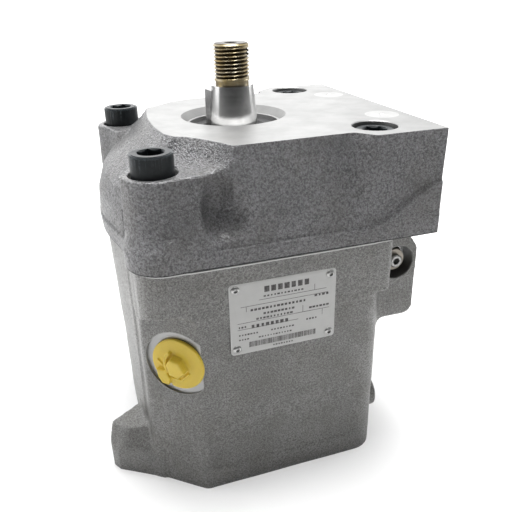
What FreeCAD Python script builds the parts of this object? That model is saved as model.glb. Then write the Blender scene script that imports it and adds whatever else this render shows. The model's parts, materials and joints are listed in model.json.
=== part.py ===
import FreeCAD, Part
import math
import os

# Axial piston pump, swash plate type, standing on its rear end.
# Millimetres. Origin on the shaft axis at the base face, +Z along the shaft towards its drive end,
# +X towards the port face, -Y towards the face that carries the nameplate.

V = FreeCAD.Vector
ORIGIN = V(0, 0, 0)
X_AXIS = V(1, 0, 0)
Y_AXIS = V(0, 1, 0)
Z_AXIS = V(0, 0, 1)

# ---- casings: overall sizes ----
half_depth = 77.5            # shaft axis to the front and to the back face
base_top_z = 143.2           # top face of the lower casing
gasket_t = 0.6
block_h = 57.2               # port block, to its machined top face
block_right_x = 91.0         # port face
left_x = -72.5               # flat part of the left wall
corner_r = 15.5              # bolt boss and corner radius on the left
fit_gap = 0.05               # clearance of pieces that slide or turn on each other
seat_gap = 0.3               # gap at contacts that open and close in use

# ---- lower casing ----
pot_right_x = 64.0
pot_corner_r = 14.0
pot_chamfer_front_x = -46.2  # where the left corner chamfer meets the front face
pot_chamfer_side_inset = 21.5# and how far back it reaches the left wall
neck_drop = 31.2             # the corner chamfer ends here and the bolt bosses begin
neck_right_x = 66.5
neck_corner_r = 4.0
bulge_half_y = 40.0          # swelling of the left wall over the stroking cylinder
bulge_root_x = -30.0
pot_bulge_base_wall = 11.5   # cast wall outside the stroking axis
pot_bulge_top_wall = 16.5
control_box_wall = 13.0      # control valve body on the right, outside the valve axis
control_box_front_inset = 15.5# behind the front face
control_box_h = 59.2
control_box_shelf_drop = 15.2
control_box_edge_r = 6.0
parting_right_x = 80.0
arm_bulge_wall = 13.5        # cast wall outside the bias axis
arm_bulge_half_y = 26.0
arm_bulge_flat_half_y = 16.0
arm_bulge_low_z = 8.0
side_pad_y = -54.0           # round cast pad low on the right
side_pad_z = 25.0
side_pad_r = 10.0
side_pad_x = 70.5
lug_x = -96.5                # corner lug at the base
lug_top_z = 40.0

# ---- port block ----
ear_drop = 12.0              # screw ears on the left, below the top face
slab_x = 40.0                # left edge of the full-height slab
skirt_h = 12.2               # straight-sided foot of the block
block_bulge_wall = 18.5
bulge_brow_drop = 36.0       # the swelling turns inwards above this
bulge_brow_wall = 17.7
bulge_slope_drop = 26.0
bulge_slope_wall = 14.2
bulge_crest_x = -47.0
recess_margin = 4.0          # dished recess round the seal
recess_depth = 4.5

# ---- casing screws, M14 ----
screw_r = 7.0
screw_hex_af = 12.0
screw_hex_depth = 8.0
screw_grip = 18.0            # thread in the lower casing
screw_seat_drop = 15.8
screw_bore_gap = 0.5
screw_counterbore_gap = 1.5
screw_left_x = -57.5
screw_right_x = 59.8
screw_front_inset = 19.4
screw_back_inset = 15.0
screw_hole_spare = 3.0

# ---- ports ----
port_drop = 29.0             # port axes below the top face
port_y = 36.0
suction_r = 16.0
suction_pitch_y = 58.7
suction_pitch_z = 30.2
pressure_r = 12.5
pressure_pitch_y = 52.4
pressure_pitch_z = 26.2
port_thread_r = 4.25
port_thread_depth = 18.0
gallery_end_x = 24.0
gallery_plug_x = 77.0
gallery_plug_y = 35.0
gallery_plug_r = 9.5
gallery_plug_h = 9.0
gallery_shaft_r = 7.5

# ---- rotating group ----
pitch_r = 36.0               # piston bores in the barrel
piston_count = 9
piston_r = 10.0
piston_length = 58.5         # ball centre to crown
piston_skirt = 11.0          # ball centre to the foot of the full diameter
piston_neck_r = 4.0
piston_hollow_r = 6.0
piston_hollow_depth = 38.0
ball_r = 6.5
socket_gap = 0.08
pivot_drop = 19.55           # tilt axis of the swash plate below the barrel
full_tilt = 15.0             # degrees; the pump rests at full displacement
valve_plate_t = 4.0
valve_plate_rim = 14.0
valve_plate_bore_r = 23.0
barrel_rim = 13.0            # outside of the pitch circle
barrel_length = 62.2
barrel_bore_gap = 0.08
bore_roof = 11.5             # barrel left above the piston bores
kidney_w = 9.0
kidney_half_angle = 62.0     # valve plate kidneys
barrel_kidney_half_angle = 10.0
slipper_sole = 9.0           # ball centre to the running face
slipper_flange_r = 12.0
slipper_flange_t = 3.2
slipper_body_r = 9.0
slipper_top = 5.5
retainer_t = 3.5
retainer_hole_r = 10.8
retainer_rim = 14.0
guide_r = 19.0               # spherical guide of the retainer
guide_low = 10.5
guide_shoulder = 6.0
guide_top = 11.0
guide_flange_r = 20.5
swash_rim = 14.0
swash_t = 13.0
swash_hole_r = 20.5
swash_slot_r = 15.0
cradle_r = 40.0
cradle_in_y = 31.5
cradle_out_y = 44.0
cradle_shell_t = 2.5
cradle_half_angle = 38.0
runner_half_x = 26.0
arm_half_y = 9.0
arm_t = 9.0
arm_over = 4.5               # arm beyond the control piston centre

# ---- springs and pins in the barrel ----
hub_h = 20.45
spring_cavity_r = 22.4
pin_r = 2.0
pin_pitch_r = 18.6
barrel_spring_wire_r = 1.6
barrel_spring_r = 19.3
washer_t = 2.0
snap_ring_t = 1.5
snap_ring_over = 1.6
snap_ring_drop = 6.75

# ---- shaft ----
shaft_foot_z = 8.5
lower_seat_r = 12.5
shaft_lower_r = 13.0
spline_under = 11.0
spline_teeth = 14
spline_major_r = 15.0
spline_minor_r = 13.2
shaft_mid_r = 14.6
shoulder_step = 2.0
shoulder_drop = 2.2
upper_seat_r = 15.0
taper_drop = 14.0
taper_ratio = 5.0            # length per unit of diameter
taper_length = 30.9
relief_length = 2.5
relief_r = 8.7
thread_r = 10.0
thread_pitch = 2.0
thread_depth = 1.15
thread_turns = 9
thread_length = 18.6
end_bevel_h = 1.1
end_bevel_r = 8.9
cross_hole_r = 2.0
cross_hole_drop = 5.1
cross_hole_angle = -32.0
centre_hole_r = 2.0
centre_hole_cone_r = 3.6
key_w = 6.0
key_disc_r = 11.0
key_h = 9.0
key_over = 4.2               # Woodruff disc centre above the top face
key_proud = 2.4
key_angle = 162.0

# ---- bearings ----
lower_bearing_r = 26.0
lower_bearing_w = 16.2
lower_bearing_z = 9.5
upper_bearing_h = 12.5       # section height of the bearing
upper_bearing_w = 17.0
upper_bearing_over = 19.2
roller_count = 15
roller_r = 3.1
roller_slope = 11.0          # degrees
roller_share = 0.72          # roller length over bearing width
cage_t = 0.9

# ---- shaft seal ----
seal_h = 11.0
seal_drop = 16.6
seal_t = 10.0

# ---- cavity of the lower casing ----
cavity_gap = 3.0             # round the barrel
cavity_low_gap = 6.0         # round the swash plate
cavity_step_over = 18.0      # above the tilt axis
floor_z = 14.0
foot_pocket_z = 6.0
foot_pocket_r = 15.0
bearing_boss_r = 30.0
cradle_block_half_x = 28.0
arm_pocket_half_y = 11.0
arm_pocket_left_reach = 8.5
arm_pocket_right_reach = 6.5
arm_pocket_low_left = 28.0   # pocket floors below the tilt axis
arm_pocket_low_right = 39.0
arm_pocket_top_left = 26.0   # and their roofs above it
arm_pocket_top_right = 4.0

# ---- stroking and bias pistons ----
control_over = 10.5          # both piston axes outside the cavity
control_ball_r = 6.0
control_rod_r = 4.6
control_rod_length = 20.0
stroking_r = 7.0
stroking_head = 40.0
sleeve_r = 9.5
sleeve_under = 26.0
sleeve_drop = 0.2
bias_r = 8.0
bias_head = 16.0
bias_rod_length = 27.8
bias_roof = 5.2
bias_spring_wire_r = 1.2
bias_spring_r = 6.4

# ---- control valve, along Y in the control box ----
valve_over = 16.0            # valve axis outside the bias piston
valve_drop = 23.2
valve_mouth_r = 10.2
valve_mouth_depth = 10.0
valve_bore_r = 9.0
gland_length = 12.0
adjuster_r = 4.0
adjuster_end_inset = 1.0
adjuster_length = 31.0
nut_af = 13.0
nut_t = 6.0
seat_t = 3.0
control_spring_wire_r = 1.1
control_spring_r = 5.6
spool_r = 5.0
spool_head_r = 7.5
spool_head_inset = 50.0
spool_head_t = 3.0
spool_length = 52.0
spool_travel = 3.0
spool_groove_r = 3.2
end_plug_inset = 31.5
end_plug_af = 8.0
end_plug_socket = 6.0

# ---- drain port and its transport plug ----
drain_axis_angle = 229.8     # degrees about +Z
drain_x = -55.8
drain_inset = 7.9
drain_z = 86.6
drain_face_r = 19.5
drain_face_depth = 1.2
drain_bore_r = 10.0
plug_flange_r = 15.4
plug_flange_t = 2.6
plug_knob_af = 15.0
plug_knob_h = 4.5
plug_shank = 11.0

# ---- nameplate ----
plate_x0 = -28.6
plate_x1 = 31.0
plate_z0 = 90.5
plate_z1 = 132.9
plate_t = 0.8
plate_corner_r = 2.0
rivet_inset = 3.4
rivet_r = 1.5
rivet_head_r = 2.4
rivet_head_h = 1.0
rivet_length = 6.0

# ---- locating pins ----
dowel_r = 4.0
dowel_x = -30.0
dowel_inset = 12.5
dowel_half = 8.0
plate_pin_r = 2.0
plate_pin_x = 45.5
plate_pin_length = 8.0

# ---- sizes worked out from those above ----
block_low_z = base_top_z + gasket_t
barrel_high_z = block_low_z - valve_plate_t - fit_gap
barrel_low_z = barrel_high_z - barrel_length
tilt_cos = math.cos(math.radians(full_tilt))
tilt_sin = math.sin(math.radians(full_tilt))
tilt_tan = tilt_sin / tilt_cos
ring_r = 2.0 * pitch_r / (1.0 + tilt_cos)
bore_r = piston_r + ring_r - pitch_r + barrel_bore_gap
upper_bearing_z = block_low_z + upper_bearing_over
upper_bearing_top_z = upper_bearing_z + upper_bearing_w
lower_bearing_top_z = lower_bearing_z + lower_bearing_w
pivot_z = barrel_low_z - pivot_drop
barrel_r = pitch_r + barrel_rim
cavity_r = barrel_r + cavity_gap
control_x = cavity_r + control_over
stroking_ball_z = pivot_z + control_x * tilt_tan + (control_ball_r - slipper_sole) / tilt_cos + seat_gap
bias_ball_z = pivot_z - control_x * tilt_tan + (control_ball_r - slipper_sole) / tilt_cos + seat_gap
top_z = block_low_z + block_h
taper_low_z = top_z - taper_drop
taper_high_z = taper_low_z + taper_length
taper_high_r = upper_seat_r - (taper_high_z - taper_low_z) / (2.0 * taper_ratio)
pot_chamfer_side_y = -half_depth + pot_chamfer_side_inset
control_box_front_y = -half_depth + control_box_front_inset
screw_front_y = -half_depth + screw_front_inset
screw_back_y = half_depth - screw_back_inset
dowel_y = half_depth - dowel_inset
drain_y = -half_depth + drain_inset
ear_z = top_z - ear_drop
skirt_z = block_low_z + skirt_h
bulge_brow_z = top_z - bulge_brow_drop
bulge_slope_z = top_z - bulge_slope_drop
screw_seat_z = top_z - screw_seat_drop
screw_length = screw_seat_z - base_top_z + screw_grip
port_z = top_z - port_drop
seal_z = top_z - seal_drop
valve_plate_r = pitch_r + valve_plate_rim
retainer_r = pitch_r + retainer_rim
swash_r = pitch_r + swash_rim
hub_top_z = barrel_low_z + hub_h
snap_ring_z = barrel_high_z - snap_ring_drop
cavity_low_r = swash_r + cavity_low_gap
cavity_step_z = pivot_z + cavity_step_over
spline_low_z = pivot_z - spline_under
shoulder_low_z = base_top_z - shoulder_drop
relief_z = taper_high_z + relief_length
thread_high_z = relief_z + thread_length
shaft_end_z = thread_high_z + end_bevel_h
cross_hole_z = shaft_end_z - cross_hole_drop
key_z = top_z + key_over
arm_pocket_low_left_z = pivot_z - arm_pocket_low_left
arm_pocket_low_right_z = pivot_z - arm_pocket_low_right
arm_pocket_top_left_z = pivot_z + arm_pocket_top_left
arm_pocket_top_right_z = pivot_z + arm_pocket_top_right
sleeve_low_z = pivot_z + sleeve_under
sleeve_high_z = base_top_z - sleeve_drop
bias_bore_high_z = base_top_z - bias_roof
pot_bulge_base_x = -control_x - pot_bulge_base_wall
pot_bulge_top_x = -control_x - pot_bulge_top_wall
block_bulge_x = -control_x - block_bulge_wall
bulge_brow_x = -control_x - bulge_brow_wall
bulge_slope_x = -control_x - bulge_slope_wall
arm_bulge_x = control_x + arm_bulge_wall
arm_pocket_left_x = -control_x - arm_pocket_left_reach
arm_pocket_right_x = control_x + arm_pocket_right_reach
adjuster_end_y = control_box_front_y + adjuster_end_inset
adjuster_tip_y = adjuster_end_y + adjuster_length
spool_head_y = control_box_front_y + spool_head_inset
spool_end_y = spool_head_y + spool_length
end_plug_y = half_depth - end_plug_inset
neck_z = base_top_z - neck_drop
control_box_low_z = base_top_z - control_box_h
control_box_shelf_z = base_top_z - control_box_shelf_drop
valve_x = control_x + valve_over
control_box_x = valve_x + control_box_wall
valve_z = base_top_z - valve_drop
shoulder_r = upper_seat_r + shoulder_step
upper_bearing_r = upper_seat_r + upper_bearing_h
seal_r = upper_seat_r + seal_h
recess_r = seal_r + recess_margin
screw_bore_r = screw_r + screw_bore_gap
screw_head_r = 1.5 * screw_r
screw_counterbore_r = screw_head_r + screw_counterbore_gap
screw_head_h = 2.0 * screw_r

# ---- outlines of the castings ----
slab_root_x = slab_x + 6.0              # how far the shoulder and skirt run into the slab
control_box_root_x = neck_right_x - 12.0    # how far the control box runs into the neck
side_root_x = pot_right_x - 8.0         # how far the arm cover and the pad run into the wall
shoulder_low = [                        # shoulder outline at the skirt
    (slab_root_x, -half_depth), (-20.0, -half_depth), (-45.0, -75.0), (-58.0, -62.0),
    (left_x, -45.0), (left_x, 45.0), (-58.0, 62.0), (-20.0, half_depth),
    (slab_root_x, half_depth),
]
shoulder_high = [                       # shoulder outline at the top face
    (slab_root_x, -68.0), (-21.0, -69.5), (-24.0, -63.0), (-32.0, -50.0),
    (-46.5, -30.0), (-46.5, 15.0), (-40.0, 42.0), (-12.0, 60.0),
    (slab_root_x, 64.0),
]
ear_r = corner_r - 0.5
ear_foot_z = skirt_z - 4.0
ear_inner_points = [(-23.0, 68.0), (-34.0, 35.0), (-64.0, 35.0)]    # (x, |y|) behind each screw
lug_outline = [
    (lug_x, -36.0), (lug_x, -39.0), (lug_x + 3.2, -44.3), (-68.8, -59.8),
    (-55.0, -45.0), (-60.0, -24.0), (-75.0, -27.0), (lug_x + 2.5, -30.5),
]
lug_facets = [                          # a point on each sloping facet and its outward normal
    ((-85.5, -41.6, 28.0), (-0.324, -0.172, 0.930)),
    ((-90.7, -46.0, 16.8), (-0.486, -0.712, 0.506)),
    ((-85.5, -41.6, 28.0), (-0.690, -0.504, 0.518)),
]

# ---- small edges ----
screw_head_edge = 0.9
dimple_r = 1.6                          # dimple in the middle of a gallery plug
dimple_depth = 1.4
plug_wall = 2.4
shaft_hole_spare = 5.0                  # hole in the block's shoulder, wider than the shaft seat


# ---------------------------------------------------------------- helpers

def cyl(radius, z0, z1, x=0.0, y=0.0):
    """Cylinder along Z between two heights."""
    return Part.makeCylinder(radius, z1 - z0, V(x, y, z0), Z_AXIS)


def cyl_x(radius, x0, x1, y, z):
    """Cylinder along X between two stations."""
    return Part.makeCylinder(radius, x1 - x0, V(x0, y, z), X_AXIS)


def cyl_y(radius, y0, y1, x, z):
    """Cylinder along Y between two stations."""
    return Part.makeCylinder(radius, y1 - y0, V(x, y0, z), Y_AXIS)


def box(x0, x1, y0, y1, z0, z1):
    """Box between two corners."""
    return Part.makeBox(x1 - x0, y1 - y0, z1 - z0, V(x0, y0, z0))


def tube(r_out, r_in, z0, z1, x=0.0, y=0.0):
    """Ring along Z."""
    return cyl(r_out, z0, z1, x, y).cut(cyl(r_in, z0 - 1.0, z1 + 1.0, x, y))


def turned(points):
    """Solid of revolution about Z from (radius, z) points."""
    wire = Part.makePolygon([V(r, 0, z) for r, z in points + points[:1]])
    return Part.Face(wire).revolve(ORIGIN, Z_AXIS, 360)


def prism(points, z0, z1):
    """Straight prism along Z from (x, y) points."""
    wire = Part.makePolygon([V(x, y, z0) for x, y in points + points[:1]])
    return Part.Face(wire).extrude(V(0, 0, z1 - z0))


def rounded_prism(corners, z0, z1):
    """Prism along Z from (x, y, radius) corners, each rounded by its own radius."""
    edges = []
    ends = []
    count = len(corners)
    for i, (x, y, r) in enumerate(corners):
        here = V(x, y, z0)
        before = V(corners[i - 1][0], corners[i - 1][1], z0)
        after = V(corners[(i + 1) % count][0], corners[(i + 1) % count][1], z0)
        to_before = (before - here).normalize()
        to_after = (after - here).normalize()
        if r <= 0:
            ends.append((here, here))
            continue
        half = to_before.getAngle(to_after) / 2.0
        reach = r / math.tan(half)
        middle = (to_before + to_after).normalize()
        crown = here + middle * (r / math.sin(half) - r)
        start = here + to_before * reach
        end = here + to_after * reach
        edges.append(Part.Arc(start, crown, end).toShape())
        ends.append((start, end))
    for i in range(count):
        start = ends[i - 1][1]
        end = ends[i][0]
        if start.distanceToPoint(end) > 1e-6:
            edges.append(Part.LineSegment(start, end).toShape())
    wire = Part.Wire(Part.__sortEdges__(edges))
    return Part.Face(wire).extrude(V(0, 0, z1 - z0))


def hexagon(across_flats, length, base, axis):
    """Hexagonal bar from a base point along an axis."""
    corner = across_flats / math.sqrt(3.0)
    points = []
    for i in range(7):
        angle = math.radians(60.0 * i)
        points.append(V(corner * math.cos(angle), corner * math.sin(angle), 0))
    bar = Part.Face(Part.makePolygon(points)).extrude(V(0, 0, length))
    bar.Placement = FreeCAD.Placement(base, FreeCAD.Rotation(Z_AXIS, axis))
    return bar


def keep_below(shape, point, normal):
    """The part of a shape on the inner side of a plane."""
    size = 400.0
    block = Part.makeBox(size, size, size, V(-size / 2, -size / 2, 0))
    block.Placement = FreeCAD.Placement(point, FreeCAD.Rotation(Z_AXIS, normal))
    return shape.cut(block)


def spring(mean_r, wire_r, z0, z1, turns, x=0.0, y=0.0):
    """Round wire compression spring along Z that fills the height from z0 to z1."""
    travel = z1 - z0 - 2.0 * wire_r
    helix = Part.makeHelix(travel / turns, travel, mean_r)
    circle = Part.makeCircle(wire_r, V(mean_r, 0, 0), Y_AXIS)
    coil = Part.Wire(helix).makePipeShell([Part.Wire(circle)], True, True)
    coil.translate(V(x, y, z0 + wire_r))
    return coil


def spline_points(major, minor, teeth):
    """Outline of a straight-sided spline, tips and roots of equal width."""
    points = []
    for i in range(teeth):
        start = 2.0 * math.pi * i / teeth
        step = 2.0 * math.pi / teeth
        for share, radius in ((-0.26, minor), (-0.18, major), (0.18, major), (0.26, minor)):
            angle = start + share * step
            points.append((radius * math.cos(angle), radius * math.sin(angle)))
    return points


def kidney(mean_r, width, half_angle, centre_angle, z0, z1):
    """Curved slot with round ends, as a solid along Z."""
    sector = []
    for share in (-1.0, 0.0, 1.0):
        angle = math.radians(centre_angle + share * half_angle)
        sector.append(V(math.cos(angle), math.sin(angle), 0))
    lift = V(0, 0, z0)
    inner = mean_r - width / 2.0
    outer = mean_r + width / 2.0
    start_end = sector[0] * mean_r + V(sector[0].y, -sector[0].x, 0) * (width / 2.0)
    stop_end = sector[2] * mean_r + V(-sector[2].y, sector[2].x, 0) * (width / 2.0)
    edges = [
        Part.Arc(sector[0] * inner, sector[1] * inner, sector[2] * inner).toShape(),
        Part.Arc(sector[2] * inner, stop_end, sector[2] * outer).toShape(),
        Part.Arc(sector[2] * outer, sector[1] * outer, sector[0] * outer).toShape(),
        Part.Arc(sector[0] * outer, start_end, sector[0] * inner).toShape(),
    ]
    face = Part.Face(Part.Wire(edges))
    face.translate(lift)
    return face.extrude(V(0, 0, z1 - z0))


def tilted(shape):
    """A shape built about the level tilt axis, turned to full displacement and lifted to the axis."""
    shape.rotate(ORIGIN, Y_AXIS, full_tilt)
    shape.translate(V(0, 0, pivot_z))
    return shape


def joined(shapes):
    """One solid from overlapping shapes."""
    return shapes[0].multiFuse(shapes[1:]).removeSplitter()


def screw_places():
    """Axes of the four casing screws."""
    places = []
    for x in (screw_left_x, screw_right_x):
        for y in (screw_front_y, screw_back_y):
            places.append((x, y))
    return places


def drain_frame(height):
    """Place on the drain port axis at a height above its boss face, and the axis."""
    angle = math.radians(drain_axis_angle)
    axis = V(math.cos(angle), math.sin(angle), 0)
    return V(drain_x, drain_y, drain_z) + axis * height, axis


# ---------------------------------------------------------------- castings

def left_bulge(stations):
    """Swelling of the left wall, lofted through (z, side x, crown x) stations."""
    wires = []
    for z, side_x, crown_x in stations:
        low = V(side_x, -bulge_half_y, z)
        crown = V(crown_x, 0, z)
        high = V(side_x, bulge_half_y, z)
        inner_low = V(bulge_root_x, -bulge_half_y, z)
        inner_high = V(bulge_root_x, bulge_half_y, z)
        wires.append(Part.Wire([
            Part.Arc(low, crown, high).toShape(),
            Part.LineSegment(high, inner_high).toShape(),
            Part.LineSegment(inner_high, inner_low).toShape(),
            Part.LineSegment(inner_low, low).toShape(),
        ]))
    return Part.makeLoft(wires, True, True)


def parting_corners(inset):
    """Outline of the joint face between the castings, set in by a margin."""
    return [
        (left_x + inset, -half_depth + inset, corner_r - inset),
        (neck_right_x - inset, -half_depth + inset, neck_corner_r),
        (neck_right_x - inset, control_box_front_y + inset, 0),
        (parting_right_x - inset, control_box_front_y + inset, 0),
        (parting_right_x - inset, half_depth - inset, neck_corner_r),
        (left_x + inset, half_depth - inset, corner_r - inset),
    ]


def control_box():
    """Body of the control valve, an extrusion along Y with rounded right edges."""
    r = control_box_edge_r
    outline = [
        V(control_box_root_x, 0, control_box_low_z),
        V(control_box_x - r, 0, control_box_low_z),
        V(control_box_x, 0, control_box_low_z + r),
        V(control_box_x, 0, control_box_shelf_z),
        V(control_box_x - r, 0, control_box_shelf_z + 1.5 * r),
        V(parting_right_x, 0, base_top_z),
        V(control_box_root_x, 0, base_top_z),
    ]
    wire = Part.makePolygon(outline + outline[:1])
    wire.translate(V(0, control_box_front_y, 0))
    return Part.Face(wire).extrude(V(0, half_depth - control_box_front_y, 0))


def corner_lug():
    """Ear at the front left of the base, with three sloping top facets."""
    lug = prism(lug_outline, 0, lug_top_z)
    for point, normal in lug_facets:
        lug = keep_below(lug, V(*point), V(*normal))
    return lug


def pot_outside():
    """Outer shape of the lower casing."""
    side = pot_chamfer_side_y
    lower = rounded_prism([
        (pot_chamfer_front_x, -half_depth, 0),
        (pot_right_x, -half_depth, pot_corner_r),
        (pot_right_x, half_depth, pot_corner_r),
        (pot_chamfer_front_x, half_depth, 0),
        (left_x, -side, 0),
        (left_x, side, 0),
    ], 0, base_top_z)
    neck = rounded_prism([
        (left_x, -half_depth, corner_r),
        (neck_right_x, -half_depth, neck_corner_r),
        (neck_right_x, half_depth, neck_corner_r),
        (left_x, half_depth, corner_r),
    ], neck_z, base_top_z)
    flat = arm_bulge_flat_half_y
    arm_cover = prism([
        (side_root_x, -arm_bulge_half_y),
        (arm_bulge_x, -flat),
        (arm_bulge_x, flat),
        (side_root_x, arm_bulge_half_y),
    ], arm_bulge_low_z, control_box_low_z + 2.0)
    pad = cyl_x(side_pad_r, side_root_x, side_pad_x, side_pad_y, side_pad_z)
    bulge = left_bulge([(0.0, left_x, pot_bulge_base_x), (base_top_z, left_x, pot_bulge_top_x)])
    return joined([lower, neck, control_box(), arm_cover, pad, bulge, corner_lug()])


def cradle_seats():
    """Two blocks on the floor that carry the cradle shells."""
    seats = []
    for sign in (-1.0, 1.0):
        y0 = min(sign * (cradle_in_y - 0.5), sign * (cradle_out_y + 0.5))
        y1 = max(sign * (cradle_in_y - 0.5), sign * (cradle_out_y + 0.5))
        block = box(-cradle_block_half_x, cradle_block_half_x, y0, y1, floor_z - 1.0, pivot_z)
        hollow = cyl_y(cradle_r + fit_gap + cradle_shell_t, y0 - 1.0, y1 + 1.0, 0, pivot_z)
        seats.append(block.cut(hollow))
    return seats


def pot_inside():
    """Everything that the machining and the core take out of the lower casing."""
    cuts = [
        cyl(cavity_r, cavity_step_z, base_top_z + 1.0),
        cyl(cavity_low_r, floor_z, cavity_step_z),
        box(arm_pocket_left_x, 0, -arm_pocket_half_y, arm_pocket_half_y,
            arm_pocket_low_left_z, arm_pocket_top_left_z),
        box(0, arm_pocket_right_x, -arm_pocket_half_y, arm_pocket_half_y,
            arm_pocket_low_right_z, arm_pocket_top_right_z),
        cyl(sleeve_r, sleeve_low_z - 1.0, base_top_z + 1.0, -control_x, 0),
        cyl(bias_r + fit_gap, arm_pocket_top_right_z - 1.0, bias_bore_high_z, control_x, 0),
    ]
    return cuts


def control_valve_bores():
    """Bores of the control valve along Y."""
    mouth_y = control_box_front_y + valve_mouth_depth
    return [
        cyl_y(valve_mouth_r, control_box_front_y - 1.0, mouth_y, valve_x, valve_z),
        cyl_y(valve_bore_r, mouth_y - 1.0, spool_head_y + spool_head_t + spool_travel, valve_x, valve_z),
        cyl_y(spool_r + fit_gap, spool_head_y, end_plug_y + 1.0, valve_x, valve_z),
        cyl_y(valve_bore_r, end_plug_y, half_depth + 1.0, valve_x, valve_z),
    ]


def housing():
    """Lower casing."""
    shell = pot_outside()
    core = pot_inside()[0].multiFuse(pot_inside()[1:])
    inner = [cyl(bearing_boss_r, floor_z - 1.0, lower_bearing_top_z)] + cradle_seats()
    core = core.cut(inner[0].multiFuse(inner[1:]))
    shell = shell.cut(core)
    bores = [
        cyl(lower_bearing_r, lower_bearing_z, lower_bearing_top_z + 1.0),
        cyl(foot_pocket_r, foot_pocket_z, lower_bearing_z + 1.0),
    ]
    bores += control_valve_bores()
    for x, y in screw_places():
        bores.append(cyl(screw_r + fit_gap, screw_seat_z - screw_length - screw_hole_spare,
                         base_top_z + 1.0, x, y))
    for y in (-dowel_y, dowel_y):
        bores.append(cyl(dowel_r, base_top_z - dowel_half - 0.5, base_top_z + 1.0, dowel_x, y))
    base, axis = drain_frame(-drain_face_depth)
    bores.append(Part.makeCylinder(drain_face_r, 20.0, base, axis))
    bores.append(Part.makeCylinder(drain_bore_r, 60.0, base - axis * 40.0, axis))
    for x, z in rivet_places():
        bores.append(cyl_y(rivet_r, -half_depth - 1.0, -half_depth + rivet_length, x, z))
    return shell.cut(bores[0].multiFuse(bores[1:]))


def block_outside():
    """Outer shape of the port block."""
    skirt = rounded_prism([
        (left_x, -half_depth, corner_r),
        (slab_root_x, -half_depth, 0),
        (slab_root_x, half_depth, 0),
        (left_x, half_depth, corner_r),
    ], block_low_z, skirt_z + 1.0)
    slab = box(slab_x, block_right_x, -half_depth, half_depth, block_low_z, top_z)
    wires = [
        Part.makePolygon([V(x, y, skirt_z) for x, y in shoulder_low + shoulder_low[:1]]),
        Part.makePolygon([V(x, y, top_z) for x, y in shoulder_high + shoulder_high[:1]]),
    ]
    shoulder = Part.makeLoft(wires, True, True)
    bulge = left_bulge([
        (block_low_z, left_x, pot_bulge_top_x - 1.0),
        (skirt_z, left_x, block_bulge_x),
        (bulge_brow_z, left_x, bulge_brow_x),
        (bulge_slope_z, left_x + 2.0, bulge_slope_x),
        (top_z, bulge_crest_x + 5.0, bulge_crest_x),
    ])
    parts = [skirt, slab, shoulder, bulge]
    for y in (screw_front_y, screw_back_y):
        parts.append(cyl(ear_r, block_low_z, ear_z, screw_left_x, y))
        side = math.copysign(1.0, y)
        inner = [(inner_x, side * inner_y) for inner_x, inner_y in ear_inner_points]
        outline = [(screw_left_x, y + side * ear_r)] + inner + [(screw_left_x - ear_r, y)]
        parts.append(prism(outline, ear_foot_z, ear_z))
    return joined(parts)


def port_block():
    """Upper casting with the ports, the shaft exit and the screw seats."""
    body = block_outside()
    shoulder_r_hole = upper_seat_r + shaft_hole_spare
    cuts = [
        turned([(0, top_z + 1.0), (recess_r + 1.0, top_z + 1.0), (recess_r, top_z),
                (seal_r, top_z - recess_depth), (0, top_z - recess_depth)]),
        cyl(seal_r, seal_z, top_z),
        cyl(shoulder_r_hole, upper_bearing_top_z - 1.0, seal_z + 1.0),
        cyl(upper_bearing_r, block_low_z - 1.0, upper_bearing_top_z),
        kidney(pitch_r, kidney_w, kidney_half_angle, 90.0, block_low_z - 1.0, port_z - 6.0),
        kidney(pitch_r, kidney_w, kidney_half_angle, -90.0, block_low_z - 1.0, port_z - 6.0),
        cyl_x(suction_r, gallery_end_x, block_right_x + 1.0, port_y, port_z),
        cyl_x(pressure_r, gallery_end_x, block_right_x + 1.0, -port_y, port_z),
    ]
    patterns = ((1, suction_pitch_y, suction_pitch_z), (-1, pressure_pitch_y, pressure_pitch_z))
    for sign, pitch_y, pitch_z in patterns:
        for dy in (-pitch_y / 2.0, pitch_y / 2.0):
            for dz in (-pitch_z / 2.0, pitch_z / 2.0):
                cuts.append(cyl_x(port_thread_r, block_right_x - port_thread_depth, block_right_x + 1.0,
                                  sign * port_y + dy, port_z + dz))
    for y in (-gallery_plug_y, gallery_plug_y):
        cuts.append(cyl(gallery_plug_r, top_z - gallery_plug_h, top_z + 1.0, gallery_plug_x, y))
        cuts.append(cyl(gallery_shaft_r, port_z, top_z, gallery_plug_x, y))
    for x, y in screw_places():
        cuts.append(cyl(screw_bore_r, block_low_z - 1.0, top_z, x, y))
        cuts.append(cyl(screw_counterbore_r, screw_seat_z, top_z + 1.0, x, y))
    for y in (-dowel_y, dowel_y):
        cuts.append(cyl(dowel_r, block_low_z - 1.0, block_low_z + dowel_half + 0.5, dowel_x, y))
    pin_top = block_low_z - valve_plate_t + 1.0 + plate_pin_length
    cuts.append(cyl(plate_pin_r, block_low_z - 1.0, pin_top, plate_pin_x, 0))
    return body.cut(cuts[0].multiFuse(cuts[1:]))


def casing_gasket():
    """Flat gasket between the castings."""
    sheet = rounded_prism(parting_corners(1.0), base_top_z, block_low_z)
    cuts = [cyl(cavity_r, base_top_z - 1.0, block_low_z + 1.0)]
    for x, y in screw_places():
        cuts.append(cyl(screw_bore_r, base_top_z - 1.0, block_low_z + 1.0, x, y))
    for y in (-dowel_y, dowel_y):
        cuts.append(cyl(dowel_r + 0.3, base_top_z - 1.0, block_low_z + 1.0, dowel_x, y))
    return sheet.cut(cuts[0].multiFuse(cuts[1:]))


# ---------------------------------------------------------------- fasteners and plugs

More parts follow.
